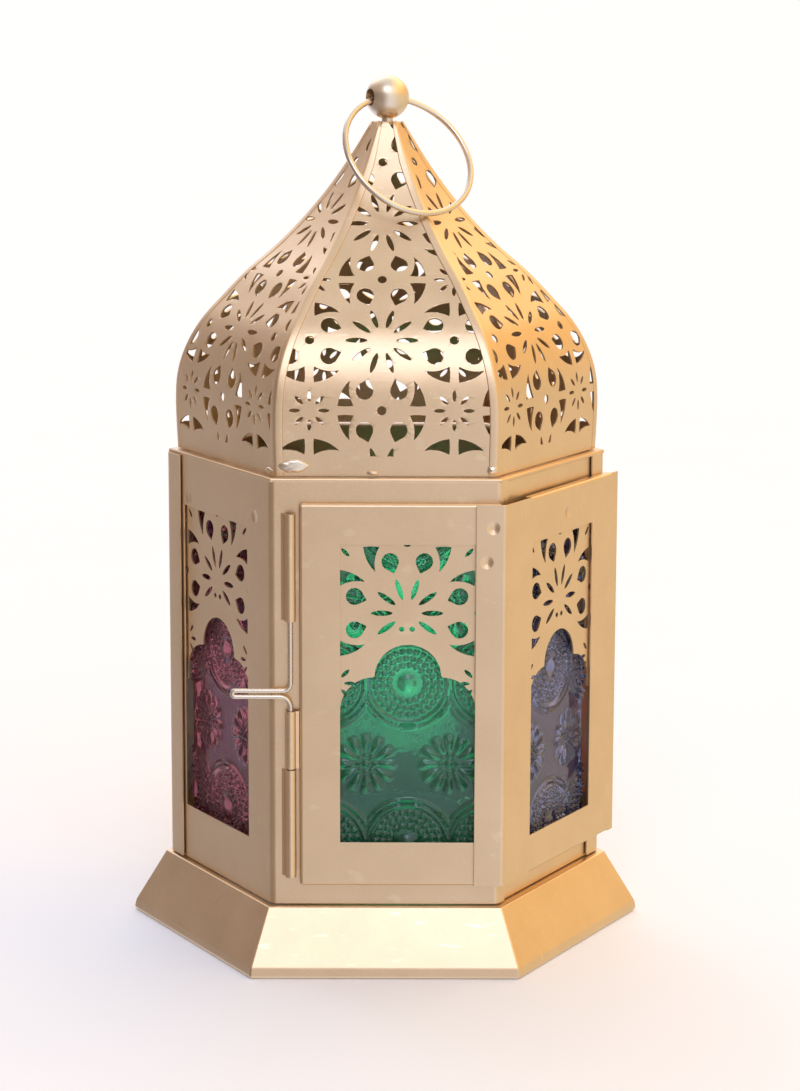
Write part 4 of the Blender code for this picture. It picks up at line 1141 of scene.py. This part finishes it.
# Solder at the gores' feet: face, then u, distance up the gore, half width and half height, in mm
SOLDER = ((FRONT, -20.6, 2.2, 3.3, 1.5), (FRONT, -3.0, 0.7, 1.3, 0.5), (FRONT, 23.6, 1.4, 1.2, 1.0),
          (LEFT_FRONT, 22.0, 1.0, 1.6, 0.7), (BACK, 19.0, 1.6, 2.6, 1.1), (RIGHT_BACK, -21.0, 1.2, 2.0, 0.9))


class LANTERN_OT_dome(bpy.types.Operator):
    """Make the six pierced gores, the seams along their ridges and the solder at their feet"""

    bl_idname = "lantern.dome"
    bl_label = "Dome"

    # How far each gore's pattern sits off its middle
    SHIFTS = {"front": -1.0, "right_front": -1.3, "right_back": 0.6, "back": -0.4,
              "left_back": 0.9, "left_front": -0.9}
    FIRST_FLOWER = 30.7 * MM
    PLAIN_FOOT = 4.4 * MM
    SCORE = 1.1 * MM
    GORE_SHEET = 0.45 * MM
    GORE_EDGE = 0.05 * MM
    SPARE = 1 * MM
    PAST_RIDGE = 0.1 * MM
    SEAM_STEPS = 60
    SEAM_LIFT = 0.12 * MM
    SEAM_SHEET = 0.35 * MM
    # Shares of a seam: its sunk edge's drop, its flat, its soft middle and the weights of its crown
    SUNK, FLAT, SOFT, CROWN, BESIDE = 0.6, 0.9, 0.25, 0.55, 0.225
    BLOB_RISE = 0.75
    COLLAR = ((1.3, -0.1), (2.5, -0.1), (3.05, -0.5), (2.9, -1.1), (1.3, -1.1), (1.3, -0.1))

    def execute(self, context):
        sizes = context.scene.lantern_sizes
        flat = pierced("gore_flat", 3, 4, "whole")
        bmesh.ops.translate(flat, verts=flat.verts, vec=(0, self.FIRST_FLOWER + sizes.pitch / 2, 0))
        length = FACE_LENGTHS[-1]
        trimmed(flat, (0, self.PLAIN_FOOT, 0), (0, -1, 0))
        trimmed(flat, (0, length, 0), (0, 1, 0))
        half = HALF_SIDE + self.SPARE
        for side in (-1, 1):
            trimmed(flat, (side * half, 0, 0), (side, 0, 0))
        foot = ((-half, 0), (half, 0), (half, self.PLAIN_FOOT), (-half, self.PLAIN_FOOT))
        flat.faces.new([flat.verts.new((x, y, 0)) for x, y in foot])
        count = int(length / self.SCORE)
        for k in range(1, count):
            trimmed(flat, (0, length * k / count, 0), (0, 1, 0), clear=False)
        for face, angle in FACES.items():
            self.gore(face, angle, flat.copy())
        flat.free()
        for k in range(6):
            self.seam(k, sizes.seam)
        self.solder(np.random.default_rng(sizes.seed))
        return {"FINISHED"}

    def solder(self, chance):
        """Flattened, uneven beads where a gore's foot is soldered down."""
        for k, (angle, u, s, wide, high) in enumerate(SOLDER):
            n, z = on_gore(s * MM)
            bm = bmesh.new()
            bmesh.ops.create_icosphere(bm, subdivisions=4, radius=1)
            phases = chance.uniform(0, 6.28, 4)
            out, along = place(angle, 1, 0, 0), place(angle, 0, 1, 0)
            for v in bm.verts:
                swell = 1 + 0.07 * math.sin(4 * v.co.x + phases[0]) * math.cos(5 * v.co.y + phases[1])
                swell += 0.03 * math.sin(9 * v.co.x + phases[2]) * math.sin(7 * v.co.y + phases[3])
                x, y, rise = v.co.x * wide * swell, v.co.y * high * swell, v.co.z * self.BLOB_RISE * swell
                v.co = out * (n + rise * MM) + along * (u + x) * MM + Vector((0, 0, z + y * MM))
            settled(from_bmesh(f"solder_{k + 1}", bm), "pale_wire", "root")
        collar = turned("neck_solder", [(r * MM, DOME_TOP + z * MM) for r, z in self.COLLAR], 36)
        settled(collar, "gold_paint", "root")

    def gore(self, face, angle, bm):
        out = place(angle, 1, 0, 0)
        along = place(angle, 0, 1, 0)
        shift = self.SHIFTS[face] * MM
        for v in bm.verts:
            n, z = on_gore(v.co.y)
            v.co = out * n + along * (v.co.x + shift) + Vector((0, 0, z))
        for side in (-1, 1):
            plane = place(angle + 30 * side, 0, side, 0)
            trimmed(bm, plane * -self.PAST_RIDGE, plane)
        outwards(bm)
        gore = thickened(from_bmesh(f"gore_{face}", bm), self.GORE_SHEET, self.GORE_EDGE)
        settled(gore, "gold_paint", "root", [f"dome_gore_{face}"], 40)

    def seam(self, k, width):
        """A capping strip over one ridge, lying on both of its gores."""
        right, left = 60 * k - 30, 60 * k + 30
        bm = bmesh.new()
        rows = []
        for step in range(self.SEAM_STEPS + 1):
            s = FACE_LENGTHS[-1] * step / self.SEAM_STEPS
            n, z = on_gore(s)
            normal = gore_normal(s)
            n, z = n + self.SEAM_LIFT * normal[0], z + self.SEAM_LIFT * normal[1]
            sunk = self.SEAM_LIFT * self.SUNK
            low_n, low_z = n - sunk * normal[0], z - sunk * normal[1]
            half_side = n * math.tan(HALF_ANGLE)
            flange = min(width, 0.4 * half_side)
            edge, flat, soft = (half_side - flange * share for share in (1, self.FLAT, self.SOFT))
            beside = place(right, n, soft, z) + place(left, n, -soft, z)
            crown = place(right, n, half_side, z) * self.CROWN + beside * self.BESIDE
            points = [place(right, low_n, edge, low_z), place(right, n, flat, z),
                      place(right, n, soft, z), crown, place(left, n, -soft, z),
                      place(left, n, -flat, z), place(left, low_n, -edge, low_z)]
            rows.append([bm.verts.new(p) for p in points])
        webbed(bm, rows)
        outwards(bm)
        seam = from_bmesh(f"ridge_seam_{k + 1}", bm)
        modified(seam, "SOLIDIFY", thickness=self.SEAM_SHEET, offset=-1)
        settled(evened(seam), "gold_paint", "root")


class LANTERN_OT_finial(bpy.types.Operator):
    """Make the bored bead, and the ring that hangs in it"""

    bl_idname = "lantern.finial"
    bl_label = "Finial and ring"

    BORE_YAW = math.radians(30.9)
    BORE_RADIUS = 1.94 * MM
    BORE_EDGE = 0.18 * MM

    def execute(self, context):
        ring = NODES["hanging_ring"]
        points = np.array([v.co for v in ring.data.vertices])
        centre = points.mean(0)
        axis = Vector(np.linalg.svd(points - centre, full_matrices=False)[2][2])
        distance = np.linalg.norm(points - centre, axis=1)
        nearest, furthest = float(distance.min()), float(distance.max())
        radius, wire = (furthest + nearest) / 2, (furthest - nearest) / 2
        across = Vector((axis.y, -axis.x, 0)).normalized()
        up = axis.cross(across)
        path = [Vector(centre) + radius * (math.cos(t) * across + math.sin(t) * up)
                for t in (2 * math.pi * k / 120 for k in range(120))]
        loop = swept_tube("carrying_ring", path, wire, closed=True)
        settled(loop, "pale_wire", "ring", ["hanging_ring"], 60)

        bm = bmesh.new()
        bmesh.ops.create_uvsphere(bm, u_segments=64, v_segments=40, radius=BALL_RADIUS,
                                  matrix=Matrix.Translation(BALL_CENTRE))
        ball = from_bmesh("bead", bm)
        bore = bmesh.new()
        turn = Matrix.Rotation(self.BORE_YAW, 4, "Z") @ Matrix.Rotation(math.pi / 2, 4, "Y")
        bmesh.ops.create_cone(bore, cap_ends=True, segments=40, radius1=self.BORE_RADIUS,
                              radius2=self.BORE_RADIUS, depth=4 * BALL_RADIUS,
                              matrix=Matrix.Translation(BALL_CENTRE) @ turn)
        cutter = from_bmesh("bead_bore", bore)
        modified(ball, "BOOLEAN", object=cutter, operation="DIFFERENCE", solver="EXACT")
        broken(ball, self.BORE_EDGE, 3, 40)
        bpy.context.view_layer.update()
        ball = plain(ball)
        bpy.data.objects.remove(cutter)
        settled(ball, "old_brass", "root", ["finial_ball"], 50)
        dressed("finial_stud", "pale_wire")
        return {"FINISHED"}


class LANTERN_OT_latch(bpy.types.Operator):
    """Make the wire bolt, its two curled guides and the keeper"""

    bl_idname = "lantern.latch"
    bl_label = "Latch"

    WIRE = 0.55 * MM
    HANDLE_GAP = 3.3 * MM
    LOOP, BEND, SWEEP = 0.7 * MM, 1.6 * MM, 2.4 * MM
    CURL = 0.85 * MM + 0.35 * MM
    TONGUE = 0.33 * MM
    EDGE = 0.06 * MM

    def execute(self, context):
        upper = extent("latch_guide_upper", FRONT)
        lower = extent("latch_guide_lower", FRONT)
        keeper = extent("latch_keeper", FRONT)
        n = sum(upper[0]) / 2
        u = sum(upper[1]) / 2
        self.bolt(n, u, extent("latch_bolt", FRONT), keeper[2][1])
        for name, node, span in (("guide_upper", "latch_guide_upper", upper[2]),
                                 ("guide_lower", "latch_guide_lower", lower[2])):
            self.curl(name, node, "root", n, u, span, -1)
        self.curl("keeper", "latch_keeper", "door", n, u, keeper[2], 1)
        return {"FINISHED"}

    def bolt(self, n, u, reach, keeper_top):
        """One bent wire with a doubled loop to push it by."""
        height = keeper_top + self.HANDLE_GAP + self.LOOP
        loop, bend, sweep = self.LOOP, self.BEND, self.SWEEP
        end = reach[1][0] + self.WIRE + loop
        flat = [(u, reach[2][1])]
        flat += arc_points((u - bend, height + loop + bend), bend, 0, -90, 8)
        flat += arc_points((end, height), loop, 90, 270, 10)
        flat += arc_points((u - sweep, height - loop - sweep), sweep, 90, 0, 8)
        flat += [(u, reach[2][0])]
        path = [place(FRONT, n, x, z) for x, z in flat]
        wire = swept_tube("bolt_wire", path, self.WIRE)
        settled(wire, "pale_wire", "bolt", ["latch_bolt"], 60)

    def curl(self, name, node, body, n, u, span, side):
        """A tongue of sheet curled round the bolt, from a foot on the face beside it. side is
        -1 for a tongue from the left and 1 for one from the door at the right."""
        if side < 0:
            section = [(u - 2.1 * MM, BODY_FACE + 0.02 * MM), (u - 1.5 * MM, BODY_FACE + 0.3 * MM)]
            section += [(u + y, n + x) for x, y in arc_points((0, 0), self.CURL, -62, 168, 16)]
        else:
            section = [(DOOR_LATCH_SIDE - 0.05 * MM, n)]
            section += [(u + y, n + x) for x, y in arc_points((0, 0), self.CURL, 82, -118, 14)]
        bm = bmesh.new()
        rows = [[bm.verts.new(place(FRONT, far, along, z)) for along, far in section] for z in span]
        webbed(bm, rows)
        bmesh.ops.recalc_face_normals(bm, faces=bm.faces)
        front = max(bm.faces, key=lambda f: -f.calc_center_median().y)
        if front.normal.y > 0:
            bmesh.ops.reverse_faces(bm, faces=bm.faces)
        obj = thickened(from_bmesh(name, bm), self.TONGUE, self.EDGE)
        settled(obj, "gold_paint", body, [node], 40)


class LANTERN_OT_fittings(bpy.types.Operator):
    """Finish the hinges, the glass clips, the candle cup and its rivet"""

    bl_idname = "lantern.fittings"
    bl_label = "Fittings"

    CUP_ROLL = 0.55 * MM
    CUP_BORE = 1.5 * MM
    CUP_NECK = 0.5 * MM
    # The cup's outside and inside: in from its edge and up from its floor, in mm
    CUP_OUTSIDE = ((1.2, 0.0), (0.55, 0.25), (0.35, 0.9))
    CUP_INSIDE = ((1.05, 1.3), (1.6, 0.4))

    def execute(self, context):
        for level in ("upper", "lower"):
            for leaf in ("body_leaf", "door_leaf"):
                dressed(f"hinge_{level}_{leaf}", "gold_paint")
            dressed(f"hinge_{level}_pin", "pale_wire")
        for face in FACES:
            dressed(f"glass_clip_{face}", "gold_paint")
        dressed("cup_rivet", "pale_wire")
        self.cup()
        return {"FINISHED"}

    def cup(self):
        """The turned cup, with a rolled rim."""
        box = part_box("candle_cup")
        radius, seat, rim = box[1].x, box[0].z, box[1].z
        roll, bore = self.CUP_ROLL, self.CUP_BORE
        middle = radius - roll
        profile = [(bore, seat)]
        profile += [(radius - x * MM, seat + z * MM) for x, z in self.CUP_OUTSIDE]
        profile += [(radius - self.CUP_NECK, rim - 1.6 * roll)]
        profile += [(middle + x, rim - roll + y) for x, y in arc_points((0, 0), roll, -50, 180, 10)]
        profile += [(radius - x * MM, seat + z * MM) for x, z in self.CUP_INSIDE]
        profile += [(bore, seat + SHEET), (bore, seat)]
        cup = turned("cup", profile, 72)
        mended(cup, lambda bm: bmesh.ops.remove_doubles(bm, verts=bm.verts, dist=0.001 * MM))
        settled(cup, "tinplate", "root", ["candle_cup"], 40)


# The room's glow from its left to its right, and the lamps: azimuth and elevation, angle across,
# strength and colour
ROOM = ((0.0, (0.27, 0.235, 0.22)), (0.2, (0.36, 0.325, 0.33)), (0.40, (0.98, 1.03, 1.24)),
        (0.62, (0.94, 0.96, 1.06)), (0.86, (0.86, 0.76, 0.62)), (1.0, (0.86, 0.74, 0.54)))
CEILING = ((0.0, (0.60, 0.30, 0.10)), (0.25, (0.56, 0.32, 0.12)), (0.42, (1.0, 1.0, 1.0)),
           (0.6, (1.0, 1.0, 1.0)), (0.8, (1.5, 0.98, 0.14)), (1.0, (1.6, 0.98, 0.08)))
ZENITH = (0.24, 0.22, 0.20)
LAMPS = (("key", -4, 45, 30, 0.4, (0.84, 1.0, 1.45)), ("back", 178, 58, 90, 0.55, (0.92, 0.99, 1.1)),
         ("top", 0, 88, 130, 0.82, (0.92, 0.99, 1.12)))


def direction(azimuth, elevation):
    """The unit vector towards an azimuth, from -Y anticlockwise, and an elevation, in degrees."""
    a, e = math.radians(azimuth), math.radians(elevation)
    return Vector((math.sin(a) * math.cos(e), -math.cos(a) * math.cos(e), math.sin(e)))


class LANTERN_OT_stage(bpy.types.Operator):
    """Set up the floor, the lights and the camera"""

    bl_idname = "lantern.stage"
    bl_label = "Stage"

    FLOOR_RADIUS = 150.0
    FLOOR_GAP = 0.2 * MM
    ROOM_ACROSS = (0.94, 0.34, 0.0)
    LENS, SENSOR = 98.76, 36.0
    CAMERA_TURN = (-0.1652, 10.4746, 0.1907)
    CAMERA_TARGET = (3.2596 * MM, 0, 89.6726 * MM)
    CAMERA_DISTANCE = 710.27 * MM

    def execute(self, context):
        scene = context.scene
        scene.view_settings.view_transform = "Standard"
        self.floor()
        self.lights(scene)
        self.camera(scene)
        return {"FINISHED"}

    def floor(self):
        bm = bmesh.new()
        bmesh.ops.create_circle(bm, cap_ends=True, segments=64, radius=self.FLOOR_RADIUS)
        obj = from_bmesh("floor", bm)
        obj.location.z = -self.FLOOR_GAP
        obj.data.materials.append(finish("ground"))
        obj.visible_glossy = False

    def lights(self, scene):
        """A room that is dim on the left, neutral in front and warm on the right, and soft lamps."""
        world = bpy.data.worlds.new("studio")
        scene.world = world
        world.use_nodes = True
        world.node_tree.nodes.clear()
        room = Board(world.node_tree)
        towards = room.add("ShaderNodeTexCoord", out="Generated")
        split = room.add("ShaderNodeVectorMath", [towards, self.ROOM_ACROSS], out="Value",
                         operation="DOT_PRODUCT")
        level = room.add("ShaderNodeVectorMath", [towards, (0.0, 0.0, 1.0)], out="Value",
                         operation="DOT_PRODUCT")
        upwards = (level * 1.7).maths("MAXIMUM", 0.0).maths("MINIMUM", 1.0)
        overhead = ((level - 0.78) * 6.0).maths("MAXIMUM", 0.0).maths("MINIMUM", 1.0)
        share = split * 0.5 + 0.5
        walls = room.ramp(share, ROOM)
        tinted = room.add("ShaderNodeVectorMath", [walls, room.ramp(share, CEILING)],
                          operation="MULTIPLY")
        dimmed = room.add("ShaderNodeVectorMath", [tinted, ZENITH], operation="MULTIPLY")
        colour = room.mix(overhead, room.mix(upwards, walls, tinted), dimmed)
        glow = room.add("ShaderNodeBackground", {"Color": colour, "Strength": 1.0})
        room.add("ShaderNodeOutputWorld", {"Surface": glow})
        target = Vector((0, 0, 0.09))
        for name, azimuth, height, spread, power, colour in LAMPS:
            data = bpy.data.lights.new(name, "SUN")
            data.angle = math.radians(spread)
            data.energy = power
            data.color = colour
            lamp = bpy.data.objects.new(name, data)
            scene.collection.objects.link(lamp)
            back = direction(azimuth, height)
            lamp.location = target + back
            lamp.rotation_euler = (-back).to_track_quat("-Z", "Y").to_euler()

    def camera(self, scene):
        """The camera looks from azimuth and elevation at its target, with a slight roll."""
        data = bpy.data.cameras.new("camera")
        data.lens, data.sensor_width = self.LENS, self.SENSOR
        camera = bpy.data.objects.new("camera", data)
        scene.collection.objects.link(camera)
        scene.camera = camera
        azimuth, elevation, roll = self.CAMERA_TURN
        back = direction(azimuth, elevation)
        turn = (-back).to_track_quat("-Z", "Y").to_matrix() @ Matrix.Rotation(math.radians(roll), 3, "Z")
        spot = Vector(self.CAMERA_TARGET) + back * self.CAMERA_DISTANCE
        camera.matrix_world = Matrix.Translation(spot) @ turn.to_4x4()
        data.clip_start, data.clip_end = 0.01, 200.0


class LANTERN_PT_pieces(bpy.types.Panel):
    """The lantern's pieces, in the order that they are made"""

    bl_idname = "LANTERN_PT_pieces"
    bl_label = "Candle lantern"
    bl_space_type = "VIEW_3D"
    bl_region_type = "UI"
    bl_category = "Lantern"

    def draw(self, context):
        for group in (context.scene.lantern_sizes, context.scene.lantern_finishes):
            for name in group.__annotations__:
                self.layout.prop(group, name)
        for operator in OPERATORS:
            self.layout.operator(operator.bl_idname)


OPERATORS = (LANTERN_OT_base, LANTERN_OT_body, LANTERN_OT_door, LANTERN_OT_screens,
             LANTERN_OT_glass, LANTERN_OT_dome, LANTERN_OT_finial, LANTERN_OT_latch,
             LANTERN_OT_fittings, LANTERN_OT_stage)
CLASSES = (LanternSizes, LanternFinishes, *OPERATORS, LANTERN_PT_pieces)


def register():
    for cls in CLASSES:
        bpy.utils.register_class(cls)
    bpy.types.Scene.lantern_sizes = PointerProperty(type=LanternSizes)
    bpy.types.Scene.lantern_finishes = PointerProperty(type=LanternFinishes)


def unregister():
    del bpy.types.Scene.lantern_finishes
    del bpy.types.Scene.lantern_sizes
    for cls in reversed(CLASSES):
        bpy.utils.unregister_class(cls)


def main():
    register()
    for operator in OPERATORS:
        group, name = operator.bl_idname.split(".")
        getattr(getattr(bpy.ops, group), name)()
    for obj in list(bpy.data.objects):
        if obj.name.startswith("punch_"):
            bpy.data.objects.remove(obj)


if __name__ == "__main__":
    main()
